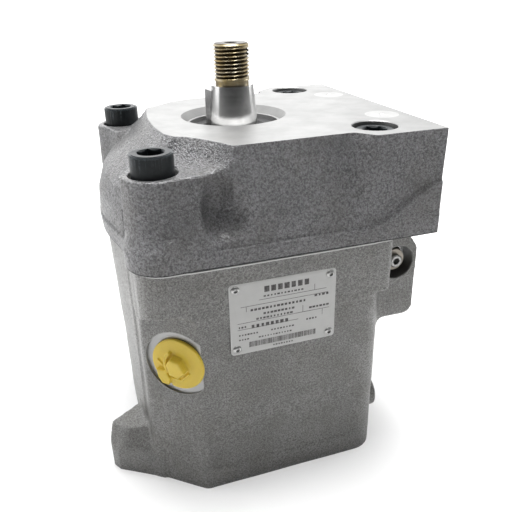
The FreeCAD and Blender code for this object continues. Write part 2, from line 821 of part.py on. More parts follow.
def cover_screws():
    """Four M14 socket head cap screws."""
    screws = []
    for x, y in screw_places():
        head_top = screw_seat_z + screw_head_h
        body = turned([
            (0, screw_seat_z - screw_length), (screw_r - 1.0, screw_seat_z - screw_length),
            (screw_r, screw_seat_z - screw_length + 1.0), (screw_r, screw_seat_z),
            (screw_head_r, screw_seat_z), (screw_head_r, head_top - screw_head_edge),
            (screw_head_r - screw_head_edge, head_top), (0, head_top),
        ])
        body.translate(V(x, y, 0))
        socket = hexagon(screw_hex_af, screw_hex_depth + 1.0, V(x, y, head_top - screw_hex_depth), Z_AXIS)
        screws.append(body.cut(socket))
    return Part.makeCompound(screws)


def locating_pins():
    """Two dowels between the castings and one small pin that stops the valve plate turning."""
    pins = []
    for y in (-dowel_y, dowel_y):
        pins.append(cyl(dowel_r, base_top_z - dowel_half, block_low_z + dowel_half, dowel_x, y))
    low = block_low_z - valve_plate_t + 1.0
    pins.append(cyl(plate_pin_r, low, low + plate_pin_length, plate_pin_x, 0))
    return Part.makeCompound(pins)


def gallery_plugs():
    """Two flush plugs that close the drillings above the port galleries."""
    plugs = []
    for y in (-gallery_plug_y, gallery_plug_y):
        plug = cyl(gallery_plug_r, top_z - gallery_plug_h, top_z, gallery_plug_x, y)
        dimple = Part.makeCone(0.0, dimple_r, dimple_depth,
                               V(gallery_plug_x, y, top_z - dimple_depth), Z_AXIS)
        plugs.append(plug.cut(dimple))
    return Part.makeCompound(plugs)


def drain_plug():
    """Plastic transport plug with a flange and a hexagonal grip."""
    seat, axis = drain_frame(-drain_face_depth)
    shank = Part.makeCylinder(drain_bore_r - fit_gap, plug_shank, seat - axis * plug_shank, axis)
    flange = Part.makeCylinder(plug_flange_r, plug_flange_t, seat, axis)
    grip = hexagon(plug_knob_af, plug_flange_t + plug_knob_h, seat, axis)
    bore = Part.makeCylinder(drain_bore_r - plug_wall, plug_shank, seat - axis * (plug_shank + 1.0), axis)
    return joined([shank, flange, grip]).cut(bore)


def rivet_places():
    """Centres (x, z) of the nameplate rivets."""
    places = []
    for x in (plate_x0 + rivet_inset, plate_x1 - rivet_inset):
        for z in (plate_z0 + rivet_inset, plate_z1 - rivet_inset):
            places.append((x, z))
    return places


def nameplate():
    """Thin plate on the front face, with four rivet holes."""
    r = plate_corner_r
    sheet = rounded_prism([
        (plate_x0, plate_z0, r), (plate_x1, plate_z0, r), (plate_x1, plate_z1, r), (plate_x0, plate_z1, r),
    ], 0, plate_t)
    sheet.rotate(ORIGIN, X_AXIS, 90)
    sheet.translate(V(0, -half_depth, 0))
    for x, z in rivet_places():
        sheet = sheet.cut(cyl_y(rivet_r, -half_depth - 2.0, -half_depth + 1.0, x, z))
    return sheet


def nameplate_rivets():
    """Four drive rivets with low round heads."""
    rivets = []
    face = -half_depth - plate_t
    for x, z in rivet_places():
        shank = cyl_y(rivet_r, face, -half_depth + rivet_length - 0.5, x, z)
        ball_r_head = (rivet_head_r ** 2 + rivet_head_h ** 2) / (2.0 * rivet_head_h)
        head = Part.makeSphere(ball_r_head, V(x, face - rivet_head_h + ball_r_head, z))
        head = head.common(cyl_y(rivet_head_r, face - rivet_head_h - 1.0, face, x, z))
        rivets.append(shank.fuse(head))
    return Part.makeCompound(rivets)


# ---------------------------------------------------------------- shaft line

def thread_profile():
    """Saw outline (radius, z) of the thread, as plain grooves."""
    points = []
    z = relief_z + 0.6
    for i in range(thread_turns):
        points.append((thread_r, z))
        points.append((thread_r - thread_depth, z + thread_pitch / 2.0 - 0.15))
        points.append((thread_r - thread_depth, z + thread_pitch / 2.0 + 0.15))
        z += thread_pitch
    points.append((thread_r, z))
    return points


def key_disc(clearance):
    """Round blade of the Woodruff key, grown by a clearance."""
    taper_r = upper_seat_r - (key_z - taper_low_z) / (2.0 * taper_ratio)
    centre_r = taper_r + key_proud - key_h + key_disc_r
    half_w = key_w / 2.0 + clearance
    disc = cyl_y(key_disc_r + clearance, -half_w, half_w, centre_r, key_z)
    return disc, taper_r


def shaft_key():
    """Woodruff key in the taper."""
    disc, taper_r = key_disc(0.0)
    key = disc.common(box(0, taper_r + key_proud, -key_w, key_w, 0, shaft_end_z))
    key.rotate(ORIGIN, Z_AXIS, key_angle)
    return key


def drive_shaft():
    """Shaft with splines, bearing seats, 1:5 taper, thread and cross hole."""
    profile = [
        (0, shaft_foot_z), (lower_seat_r - 1.0, shaft_foot_z), (lower_seat_r, shaft_foot_z + 1.0),
        (lower_seat_r, lower_bearing_top_z), (shaft_lower_r, lower_bearing_top_z),
        (shaft_lower_r, hub_top_z), (shaft_mid_r, hub_top_z), (shaft_mid_r, shoulder_low_z),
        (shoulder_r, shoulder_low_z), (shoulder_r, upper_bearing_z), (upper_seat_r, upper_bearing_z),
        (upper_seat_r, taper_low_z), (taper_high_r, taper_high_z), (relief_r, taper_high_z),
        (relief_r, relief_z - 0.4),
    ]
    profile += thread_profile()
    profile += [(thread_r, thread_high_z - 0.2), (end_bevel_r, shaft_end_z), (0, shaft_end_z)]
    shaft = turned(profile)
    splines = prism(spline_points(spline_major_r, spline_minor_r, spline_teeth), spline_low_z, hub_top_z)
    shaft = shaft.fuse(splines)
    slot, taper_r = key_disc(0.02)
    slot.rotate(ORIGIN, Z_AXIS, key_angle)
    hole = Part.makeCylinder(cross_hole_r, 4.0 * thread_r, V(-2.0 * thread_r, 0, cross_hole_z), X_AXIS)
    hole.rotate(ORIGIN, Z_AXIS, cross_hole_angle)
    centre = Part.makeCone(0.0, centre_hole_cone_r, centre_hole_cone_r * 1.7,
                           V(0, 0, shaft_end_z - centre_hole_cone_r * 1.7), Z_AXIS)
    drill = cyl(centre_hole_r * 0.6, shaft_end_z - 9.0, shaft_end_z)
    return shaft.cut(slot).cut(hole).cut(centre.fuse(drill))


def shaft_seal():
    """Radial lip seal pressed into the top of the block."""
    lip = upper_seat_r + fit_gap
    top = seal_z + seal_t
    case = seal_r - 1.8
    web = seal_z + seal_t - 3.4
    return turned([
        (seal_r, seal_z), (seal_r, top), (lip + 3.95, top), (lip + 1.75, top - 2.0),
        (lip + 0.85, top - 4.0), (lip + 0.5, seal_z + 4.0), (lip, seal_z + 2.2),
        (lip + 0.9, seal_z + 1.0), (lip + 3.15, seal_z + 1.6), (lip + 4.15, web), (case, web), (case, seal_z),
    ])


def bearing(bore, outer, z0, width, narrow_up):
    """Tapered roller bearing: cup, cone, rollers and cage. Its rollers lean in at the narrow end."""
    slope = math.radians(roller_slope)
    mean_r = (bore + outer) / 2.0
    half = roller_share * width / 2.0
    middle = width / 2.0
    lean = math.sin(slope)
    rise = math.cos(slope)

    def race(side, s):
        line_r = mean_r + s * lean
        reach = roller_r * line_r / mean_r + fit_gap
        return line_r + side * reach * rise, middle + s * rise - side * reach * lean

    def at_height(side, z):
        r0, z_0 = race(side, -half)
        r1, z_1 = race(side, half)
        return r0 + (r1 - r0) * (z - z_0) / (z_1 - z_0)

    rib = 1.2
    cone_low = race(-1, -half - 0.4)
    cone_high = race(-1, half + 0.4)
    cone = turned([
        (bore, 0), (cone_low[0] + 0.5, 0), (cone_low[0] + 0.5, cone_low[1]), cone_low,
        cone_high, (cone_high[0] + rib, cone_high[1]), (cone_high[0] + rib, width), (bore, width),
    ])
    cup_w = width - 1.0
    cup = turned([(outer, 0), (outer, cup_w), (at_height(1, cup_w), cup_w), (at_height(1, 0), 0)])
    rollers = []
    pockets = []
    for i in range(roller_count):
        turn = 360.0 * i / roller_count
        foot_r = roller_r * (mean_r - half * lean) / mean_r
        head_r = roller_r * (mean_r + half * lean) / mean_r
        for target, grow in ((rollers, 0.0), (pockets, 0.2)):
            roller = Part.makeCone(foot_r + grow, head_r + grow, 2.0 * half + 2.0 * grow,
                                   V(0, 0, -half - grow), Z_AXIS)
            roller.rotate(ORIGIN, Y_AXIS, roller_slope)
            roller.translate(V(mean_r, 0, middle))
            roller.rotate(ORIGIN, Z_AXIS, turn)
            target.append(roller)
    ends = []
    for s in (-half - 1.0, half + 1.0):
        ends.append((mean_r + s * lean, middle + s * rise))
    (r0, z_0), (r1, z_1) = ends
    cage = turned([(r0, z_0), (r0 + cage_t, z_0), (r1 + cage_t, z_1), (r1, z_1)])
    cage = cage.cut(pockets[0].multiFuse(pockets[1:]))
    pieces = [cup, cone, Part.makeCompound(rollers), cage]
    for piece in pieces:
        if narrow_up:
            piece.rotate(ORIGIN, X_AXIS, 180)
            piece.translate(V(0, 0, width))
        piece.translate(V(0, 0, z0))
    return pieces


# ---------------------------------------------------------------- rotating group

def barrel():
    """Cylinder barrel with nine bores, splined hub and spring cavity."""
    body = cyl(barrel_r, barrel_low_z, barrel_high_z)
    cuts = [
        cyl(spring_cavity_r, hub_top_z, barrel_high_z + 1.0),
        cyl(spring_cavity_r + snap_ring_over, snap_ring_z, snap_ring_z + snap_ring_t),
        prism(spline_points(spline_major_r + fit_gap, spline_minor_r + fit_gap, spline_teeth),
              barrel_low_z - 1.0, hub_top_z + 1.0),
    ]
    for i in range(3):
        angle = math.radians(120.0 * i + 60.0)
        cuts.append(cyl(pin_r + fit_gap, barrel_low_z - 1.0, hub_top_z + 1.0,
                        pin_pitch_r * math.cos(angle), pin_pitch_r * math.sin(angle)))
    for i in range(piston_count):
        turn = 360.0 * i / piston_count
        angle = math.radians(turn)
        cuts.append(cyl(bore_r, barrel_low_z - 1.0, barrel_high_z - bore_roof,
                        pitch_r * math.cos(angle), pitch_r * math.sin(angle)))
        cuts.append(kidney(pitch_r, kidney_w, barrel_kidney_half_angle, turn,
                           barrel_high_z - bore_roof - 1.0, barrel_high_z + 1.0))
    return body.cut(cuts[0].multiFuse(cuts[1:]))


def piston(index):
    """Hollow piston with a ball foot, at its place for full displacement."""
    hollow_end = piston_length - piston_hollow_depth
    body = turned([
        (0, ball_r * 0.6), (piston_neck_r, ball_r * 0.6), (piston_neck_r, piston_skirt - 2.0),
        (piston_r - 2.0, piston_skirt), (piston_r, piston_skirt + 2.0), (piston_r, piston_length - 0.8),
        (piston_r - 0.8, piston_length), (piston_hollow_r, piston_length),
        (piston_hollow_r, hollow_end), (0, hollow_end - 3.0),
    ])
    body = body.fuse(Part.makeSphere(ball_r))
    body.translate(ball_centre(index))
    return body


def ball_centre(index):
    """Centre of one piston ball at full displacement."""
    angle = 2.0 * math.pi * index / piston_count
    x = ring_r * math.cos(angle)
    y = ring_r * math.sin(angle)
    return V(x * tilt_cos, y, pivot_z - x * tilt_sin)


def slipper(index):
    """Slipper shoe swaged round a piston ball, flat on the swash plate."""
    flange_top = -slipper_sole + slipper_flange_t
    body = turned([
        (0, -slipper_sole), (slipper_flange_r, -slipper_sole),
        (slipper_flange_r, flange_top), (slipper_body_r, flange_top),
        (slipper_body_r, slipper_top - 1.0), (slipper_body_r - 1.0, slipper_top), (0, slipper_top),
    ])
    socket = Part.makeSphere(ball_r + socket_gap)
    flare = Part.makeCone(ball_r - 1.0, ball_r + 0.5, slipper_top - 1.5, V(0, 0, 2.0), Z_AXIS)
    relief = cyl(4.0, -slipper_sole - 1.0, -slipper_sole + 0.6)
    orifice = cyl(0.9, -slipper_sole, 0)
    body = body.cut(socket.multiFuse([flare, relief, orifice]))
    body.rotate(ORIGIN, Y_AXIS, full_tilt)
    body.translate(ball_centre(index))
    return body


def retainer_plate():
    """Plate that holds the slippers down, seated on the spherical guide."""
    low = -slipper_sole + slipper_flange_t + 0.1
    plate = cyl(retainer_r, low, low + retainer_t)
    cuts = [Part.makeSphere(guide_r + socket_gap)]
    for i in range(piston_count):
        angle = 2.0 * math.pi * i / piston_count
        cuts.append(cyl(retainer_hole_r, low - 1.0, low + retainer_t + 1.0,
                        ring_r * math.cos(angle), ring_r * math.sin(angle)))
    return tilted(plate.cut(cuts[0].multiFuse(cuts[1:])))


def retainer_ball():
    """Splined spherical guide on the shaft."""
    ball = Part.makeSphere(guide_r).common(cyl(guide_r + 1.0, -guide_low, guide_shoulder))
    flange = cyl(guide_flange_r, guide_shoulder, guide_top)
    hub = cyl(guide_r - 3.0, -guide_low, guide_top)
    body = joined([ball, flange, hub])
    body = body.cut(prism(spline_points(spline_major_r + fit_gap, spline_minor_r + fit_gap, spline_teeth),
                          -guide_low - 1.0, guide_top + 1.0))
    body.translate(V(0, 0, pivot_z))
    return body


def barrel_pins():
    """Three pins that carry the spring load from the barrel to the guide."""
    pins = []
    for i in range(3):
        angle = math.radians(120.0 * i + 60.0)
        pins.append(cyl(pin_r, pivot_z + guide_top, hub_top_z,
                        pin_pitch_r * math.cos(angle), pin_pitch_r * math.sin(angle)))
    return Part.makeCompound(pins)


def spring_washers():
    """Washers below and above the barrel spring."""
    inner = barrel_spring_r - 3.2
    low = tube(spring_cavity_r - 0.3, inner, hub_top_z, hub_top_z + washer_t)
    high = tube(spring_cavity_r - 0.3, inner, snap_ring_z - washer_t, snap_ring_z)
    return Part.makeCompound([low, high])


def barrel_snap_ring():
    """Open snap ring that holds the upper washer in the barrel."""
    outer = spring_cavity_r + snap_ring_over - 0.1
    ring = tube(outer, spring_cavity_r - 1.2, snap_ring_z, snap_ring_z + snap_ring_t)
    return ring.cut(box(0, 2.0 * spring_cavity_r, -3.0, 3.0, snap_ring_z - 1.0, snap_ring_z + 3.0))


def valve_plate():
    """Lens plate with a suction kidney and a pressure kidney."""
    low = block_low_z - valve_plate_t
    plate = tube(valve_plate_r, valve_plate_bore_r, low, block_low_z)
    cuts = [
        kidney(pitch_r, kidney_w, kidney_half_angle, 90.0, low - 1.0, block_low_z + 1.0),
        cyl(plate_pin_r, low + 1.0, block_low_z + 1.0, plate_pin_x, 0),
    ]
    for centre in (-128.0, -90.0, -52.0):
        cuts.append(kidney(pitch_r, kidney_w, 12.0, centre, low - 1.0, block_low_z + 1.0))
    return plate.cut(cuts[0].multiFuse(cuts[1:]))


# ---------------------------------------------------------------- swash plate and its control

def swash_plate():
    """Cradle swash plate with two runners and two control arms."""
    face = -slipper_sole - fit_gap
    foot = face - swash_t
    disc = Part.makeCone(swash_r - 5.0, swash_r, 5.0, V(0, 0, foot), Z_AXIS)
    disc = disc.fuse(cyl(swash_r, foot + 5.0, face))
    reach = control_x + arm_over
    arms = box(-reach, reach, -arm_half_y, arm_half_y, face - arm_t, face)
    runners = []
    for sign in (-1.0, 1.0):
        y0 = min(sign * cradle_in_y, sign * cradle_out_y)
        y1 = max(sign * cradle_in_y, sign * cradle_out_y)
        drum = cyl_y(cradle_r, y0, y1, 0, 0)
        runners.append(drum.common(box(-runner_half_x, runner_half_x, y0, y1, -cradle_r - 1.0, foot + 1.0)))
    body = joined([disc, arms] + runners)
    hole = cyl(swash_hole_r, foot - 1.0, face + 1.0)
    slot = cyl(swash_slot_r, foot - 1.0, face + 1.0, swash_t * 0.5, 0)
    return tilted(body.cut(hole.fuse(slot)))


def cradle_bearings():
    """Two shell bearings under the runners."""
    shells = []
    for sign in (-1.0, 1.0):
        y0 = min(sign * cradle_in_y, sign * cradle_out_y)
        y1 = max(sign * cradle_in_y, sign * cradle_out_y)
        inner = cradle_r + fit_gap
        shell = cyl_y(inner + cradle_shell_t, y0, y1, 0, pivot_z)
        shell = shell.cut(cyl_y(inner, y0 - 1.0, y1 + 1.0, 0, pivot_z))
        half = (inner + cradle_shell_t) * math.sin(math.radians(cradle_half_angle))
        shells.append(shell.common(box(-half, half, y0, y1, 0, pivot_z - 10.0)))
    return Part.makeCompound(shells)


def control_piston(head_r, head_length, rod_length, x, ball_z):
    """Plunger with a rod and a ball end that bears on a swash arm."""
    top = rod_length + head_length
    body = turned([
        (0, 0), (control_rod_r, 0), (control_rod_r, rod_length), (head_r, rod_length + 1.0),
        (head_r, top - 0.6), (head_r - 0.6, top), (0, top),
    ])
    body = body.fuse(Part.makeSphere(control_ball_r))
    body.translate(V(x, 0, ball_z))
    return body


def stroking_piston():
    """Plunger that pushes the swash plate back towards zero."""
    radius = stroking_r - fit_gap
    return control_piston(radius, stroking_head, control_rod_length, -control_x, stroking_ball_z)


def stroking_sleeve():
    """Liner of the stroking cylinder."""
    return tube(sleeve_r, stroking_r, sleeve_low_z, sleeve_high_z, -control_x, 0)


def bias_piston():
    """Spring-loaded plunger that holds the swash plate at full displacement."""
    return control_piston(bias_r, bias_head, bias_rod_length, control_x, bias_ball_z)


def bias_spring():
    """Spring above the bias piston."""
    low = bias_ball_z + bias_rod_length + bias_head
    return spring(bias_spring_r, bias_spring_wire_r, low, bias_bore_high_z - fit_gap, 11.0, control_x, 0)


# ---------------------------------------------------------------- control valve

def along_y(shape, y):
    """Lay a shape built along +Z on the control valve axis, its foot at a station."""
    shape.rotate(ORIGIN, X_AXIS, -90)
    shape.translate(V(valve_x, y, valve_z))
    return shape


def gland_front_y():
    """Outer face of the gland."""
    return control_box_front_y + valve_mouth_depth


def control_gland():
    """Screwed sleeve that carries the adjusting screw."""
    return along_y(tube(valve_bore_r - fit_gap, adjuster_r + fit_gap, 0, gland_length), gland_front_y())


def lock_nut():
    """Hexagon nut that locks the adjusting screw."""
    nut = hexagon(nut_af, nut_t, V(0, 0, 0), Z_AXIS).cut(cyl(adjuster_r + fit_gap, -1.0, nut_t + 1.0))
    bevel = Part.makeCone(nut_af * 0.5, nut_af * 0.5 + nut_t, nut_t, V(0, 0, 0), Z_AXIS)
    return along_y(nut.common(bevel), gland_front_y() - nut_t)


def adjusting_screw():
    """Adjusting screw with a hexagon socket in its outer end."""
    length = adjuster_tip_y - adjuster_end_y
    screw = turned([
        (0, 0), (adjuster_r - 0.7, 0), (adjuster_r, 0.7), (adjuster_r, length - 1.5),
        (adjuster_r - 1.5, length), (0, length),
    ])
    screw = screw.cut(hexagon(4.0, 4.0, V(0, 0, -1.0), Z_AXIS))
    return along_y(screw, adjuster_end_y)


def spring_seat():
    """Seat between the adjusting screw and the control spring."""
    return along_y(cyl(control_spring_r + 1.6, 0, seat_t), adjuster_tip_y)


def control_spring():
    """Spring between its seat and the head of the spool."""
    coil = spring(control_spring_r, control_spring_wire_r, 0, spool_head_y - adjuster_tip_y - seat_t, 6.0)
    return along_y(coil, adjuster_tip_y + seat_t)


def control_spool():
    """Spool with a spring head and two grooves."""
    length = spool_end_y - spool_head_y
    spool = turned([
        (0, 0), (spool_head_r, 0), (spool_head_r, spool_head_t), (spool_r, spool_head_t),
        (spool_r, length * 0.35), (spool_groove_r, length * 0.35), (spool_groove_r, length * 0.5),
        (spool_r, length * 0.5), (spool_r, length * 0.68), (spool_groove_r, length * 0.68),
        (spool_groove_r, length * 0.82), (spool_r, length * 0.82), (spool_r, length), (0, length),
    ])
    return along_y(spool, spool_head_y)


def control_end_plug():
    """Screw plug that closes the back of the control valve."""
    length = half_depth - 1.0 - end_plug_y
    plug = cyl(valve_bore_r - fit_gap, 0, length)
    plug = plug.cut(hexagon(end_plug_af, end_plug_socket + 1.0, V(0, 0, length - end_plug_socket), Z_AXIS))
    return along_y(plug, end_plug_y)


# ---------------------------------------------------------------- output

def all_pieces():
    """Every node by name."""
    pieces = {
        "housing": housing(),
        "port_block": port_block(),
        "casing_gasket": casing_gasket(),
        "cover_screws": cover_screws(),
        "locating_pins": locating_pins(),
        "gallery_plugs": gallery_plugs(),
        "drain_plug": drain_plug(),
        "nameplate": nameplate(),
        "nameplate_rivets": nameplate_rivets(),
        "drive_shaft": drive_shaft(),
        "shaft_key": shaft_key(),
        "shaft_seal": shaft_seal(),
        "barrel": barrel(),
        "barrel_pins": barrel_pins(),
        "barrel_spring": spring(barrel_spring_r, barrel_spring_wire_r, hub_top_z + washer_t,
                                snap_ring_z - washer_t, 5.0),
        "spring_washers": spring_washers(),
        "barrel_snap_ring": barrel_snap_ring(),
        "retainer_ball": retainer_ball(),
        "retainer_plate": retainer_plate(),
        "valve_plate": valve_plate(),
        "swash_plate": swash_plate(),
        "cradle_bearings": cradle_bearings(),
        "stroking_piston": stroking_piston(),
        "stroking_sleeve": stroking_sleeve(),
        "bias_piston": bias_piston(),
        "bias_spring": bias_spring(),
        "control_gland": control_gland(),
        "lock_nut": lock_nut(),
        "adjusting_screw": adjusting_screw(),
        "spring_seat": spring_seat(),
        "control_spring": control_spring(),
        "control_spool": control_spool(),
        "control_end_plug": control_end_plug(),
    }
    lines = (
        ("upper", upper_seat_r, upper_bearing_r, upper_bearing_z, upper_bearing_w, True),
        ("lower", lower_seat_r, lower_bearing_r, lower_bearing_z, lower_bearing_w, False),
    )
    for name, bore, outer, z0, width, narrow_up in lines:
        made = bearing(bore, outer, z0, width, narrow_up)
        for part, shape in zip(("cup", "cone", "rollers", "cage"), made):
            pieces[name + "_bearing_" + part] = shape
    for i in range(piston_count):
        pieces["piston_%d" % (i + 1)] = piston(i)
        pieces["slipper_%d" % (i + 1)] = slipper(i)
    return pieces


os.makedirs("parts", exist_ok=True)
for name, shape in all_pieces().items():
    print(name, len(shape.Solids), "valid" if shape.isValid() else "INVALID", round(shape.Volume))
    shape.exportStep("parts/" + name + ".step")
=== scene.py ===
import json
import math

import bmesh
import bpy
import numpy as np
from bpy.props import FloatProperty, FloatVectorProperty, IntProperty, PointerProperty
from mathutils import Matrix, Vector


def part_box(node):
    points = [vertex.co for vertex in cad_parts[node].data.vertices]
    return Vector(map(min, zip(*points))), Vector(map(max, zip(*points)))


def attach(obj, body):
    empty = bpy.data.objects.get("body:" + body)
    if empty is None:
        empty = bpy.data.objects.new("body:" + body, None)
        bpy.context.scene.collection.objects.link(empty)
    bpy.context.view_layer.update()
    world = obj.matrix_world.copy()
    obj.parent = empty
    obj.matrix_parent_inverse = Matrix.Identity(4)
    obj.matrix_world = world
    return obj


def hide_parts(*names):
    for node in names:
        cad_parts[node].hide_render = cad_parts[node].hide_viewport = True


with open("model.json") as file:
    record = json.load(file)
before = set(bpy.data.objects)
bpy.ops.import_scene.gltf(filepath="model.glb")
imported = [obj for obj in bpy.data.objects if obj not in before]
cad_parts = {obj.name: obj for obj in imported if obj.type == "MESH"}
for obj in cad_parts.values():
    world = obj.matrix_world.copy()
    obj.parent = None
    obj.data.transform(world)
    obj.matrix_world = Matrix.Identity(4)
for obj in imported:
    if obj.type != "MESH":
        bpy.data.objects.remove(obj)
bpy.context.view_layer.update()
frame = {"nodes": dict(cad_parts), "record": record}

bl_info = {
    "name": "Axial Piston Pump",
    "version": (1, 0, 0),
    "blender": (4, 5, 0),
    "location": "View3D > Sidebar > Pump",
    "description": "Castings, shaft, fasteners, plugs and finishes of an axial piston pump",
    "category": "Object",
}

# Sizes are in millimetres in the frame's own axes: +Z along the shaft, +X towards the ports,
# -Y towards the nameplate. A mesh is scaled to metres when it is made.
MM = 0.001
NODES = frame["nodes"]


def cad_box(node):
    """Lowest and highest corner of a CAD node, in millimetres."""
    low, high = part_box(node)
    return np.array(low) / MM, np.array(high) / MM


POT_LOW, POT_HIGH = cad_box("housing")
BLOCK_LOW, BLOCK_HIGH = cad_box("port_block")
PLATE_LOW, PLATE_HIGH = cad_box("nameplate")
SCREWS_LOW, SCREWS_HIGH = cad_box("cover_screws")
RIVETS_LOW, RIVETS_HIGH = cad_box("nameplate_rivets")

# ---- lower casing ----
DEPTH = -BLOCK_LOW[1]                # shaft axis to the front and to the back face
JOINT_Z = POT_HIGH[2]                # top face of the lower casing
LEFT_X = -72.5
BOSS_R = 15.5
POT_RIGHT_X = 64.0
NECK_RIGHT_X = 66.5
NECK_Z = JOINT_Z - 31.2
CHAMFER_X = -46.2
CHAMFER_Y = DEPTH - 21.5
BULGE_HALF_Y = 40.0
VALVE_X = 78.5
VALVE_Z = JOINT_Z - 23.2
BOX_LOW_Z = JOINT_Z - 59.2
BOX_SHELF_Z = JOINT_Z - 15.2
BOX_FRONT_Y = -DEPTH + 15.5
BOX_RIGHT_X = POT_HIGH[0]
PAD_AT = (70.5, -54.0, 25.0)
PAD_R = 10.0
CONTROL_X = 62.5
PIVOT_Z = 58.0
FLOOR_Z = 14.0
CAVITY_R = 52.0
CAVITY_LOW_R = 56.0

# ---- port block ----
FOOT_Z = BLOCK_LOW[2]
TOP_Z = BLOCK_HIGH[2]
PORT_FACE_X = BLOCK_HIGH[0]
SKIRT_Z = FOOT_Z + 12.2
EAR_Z = TOP_Z - 12.0
SLAB_X = 38.0                        # left end of the slab that holds the ports
PORT_Z = TOP_Z - 29.0
PORT_Y = 36.0
SUCTION_R = 16.0
PRESSURE_R = 12.5
SEAL_Z = TOP_Z - 16.6
SEAL_R = 26.0
RECESS_R = 30.0
RECESS_DEPTH = 4.5
GALLERY_AT = ((77.0, -35.0), (77.0, 35.0))

# ---- casing screws ----
HEAD_R = 10.5
HEAD_H = 14.0
SCREW_R = 7.0
SEAT_Z = SCREWS_HIGH[2] - HEAD_H
SCREWS_AT = [(x, y) for x in (SCREWS_LOW[0] + HEAD_R, SCREWS_HIGH[0] - HEAD_R)
             for y in (SCREWS_LOW[1] + HEAD_R, SCREWS_HIGH[1] - HEAD_R)]
DOWELS_AT = ((-30.0, -DEPTH + 12.5), (-30.0, DEPTH - 12.5))

# ---- drain port ----
DRAIN_ANGLE = math.radians(229.8)
DRAIN_AXIS = Vector((math.cos(DRAIN_ANGLE), math.sin(DRAIN_ANGLE), 0.0))
DRAIN_AT = Vector((-55.8, -DEPTH + 7.9, 86.6))
DRAIN_FACE_R = 19.5
DRAIN_FACE_DEPTH = 1.2

# ---- nameplate rivets ----
RIVET_INSET = 2.4                    # rivet centre from the edge of the rivets' box
RIVET_SHANK_R = 1.5


# ---------------------------------------------------------------- settings

class CastingSettings(bpy.types.PropertyGroup):
    """Sizes of the two castings' skins."""
    pitch: FloatProperty(
        name="Skin pitch", description="Grid pitch of the casting skins, in millimetres",
        default=1.2, min=0.8, max=4.0)
    fillet: FloatProperty(
        name="Cast fillet", description="Radius where two cast walls meet, in millimetres",
        default=5.0, min=0.5, max=12.0)
    band: FloatProperty(
        name="Mould step", description="Height of the step left by the mould joint, in millimetres",
        default=1.1, min=0.0, max=2.0)


class FinishSettings(bpy.types.PropertyGroup):
    """Colours of the main finishes."""
    pot: FloatVectorProperty(
        name="Lower casing", description="Colour of the fine cast skin", subtype="COLOR",
        default=(0.222, 0.221, 0.214), min=0.0, max=1.0)
    block: FloatVectorProperty(
        name="Port block", description="Colour of the coarse cast skin", subtype="COLOR",
        default=(0.215, 0.215, 0.220), min=0.0, max=1.0)
    machined: FloatVectorProperty(
        name="Machined iron", description="Colour of milled and turned faces", subtype="COLOR",
        default=(0.66, 0.66, 0.655), min=0.0, max=1.0)
    plug: FloatVectorProperty(
        name="Transport plug", description="Colour of the plug's soft plastic", subtype="COLOR",
        default=(0.76, 0.56, 0.060), min=0.0, max=1.0)
    thread: FloatVectorProperty(
        name="Thread", description="Colour of the yellow passivated thread", subtype="COLOR",
        default=(0.50, 0.39, 0.19), min=0.0, max=1.0)


class FastenerSettings(bpy.types.PropertyGroup):
    """Sizes of screws and rivets."""
    socket: FloatProperty(
        name="Screw socket", description="Width across flats of the screw sockets, in millimetres",
        default=12.0, min=4.0, max=16.0)
    rivet_r: FloatProperty(
        name="Rivet head", description="Radius of the rivet heads, in millimetres",
        default=2.4, min=1.0, max=4.0)
    seed: IntProperty(
        name="Seed", description="Seed of the screws' turns and of the printed strokes",
        default=5, min=0)


class StageSettings(bpy.types.PropertyGroup):
    """Light and camera."""
    overhead: FloatProperty(
        name="Overhead light", description="Power of the overhead soft light",
        default=15.0, min=0.0, unit="POWER")
    back: FloatProperty(
        name="Back light", description="Power of the large soft light behind",
        default=4.5, min=0.0, unit="POWER")
    side: FloatProperty(
        name="Side light", description="Power of the soft light on the left",
        default=3.5, min=0.0, unit="POWER")
    fill: FloatProperty(
        name="Fill", description="Strength of the light from all round", default=0.55, min=0.0)
    lens: FloatProperty(
        name="Lens", description="Focal length of the camera", default=40.38, min=10.0,
        unit="CAMERA")


# ---------------------------------------------------------------- distance fields

def smooth_step(t):
    """0 to 1 with level ends."""
    t = np.clip(t, 0.0, 1.0)
    return t * t * (3.0 - 2.0 * t)


def joined(a, b, fillet):
    """Union of two fields with a fillet."""
    reach = 1.17 * fillet
    h = np.clip(0.5 + 0.5 * (b - a) / reach, 0.0, 1.0)
    return b + (a - b) * h - reach * h * (1.0 - h)


def common(a, b, rounding):
    """What two fields share, with its edge rounded."""
    return -joined(-a, -b, rounding)


def outline_field(points, x, y):
    """Signed distance to a closed outline, negative inside."""
    nearest = np.full(np.broadcast(x, y).shape, 1e12)
    inside = np.zeros(nearest.shape, bool)
    for (ax, ay), (bx, by) in zip(points, points[1:] + points[:1]):
        ex, ey = bx - ax, by - ay
        t = np.clip(((x - ax) * ex + (y - ay) * ey) / (ex * ex + ey * ey), 0.0, 1.0)
        nearest = np.minimum(nearest, (x - ax - t * ex) ** 2 + (y - ay - t * ey) ** 2)
        if ey:
            crosses = (ay > y) != (by > y)
            inside ^= crosses & (x < ax + (y - ay) * ex / ey)
    distance = np.sqrt(nearest)
    return np.where(inside, -distance, distance)


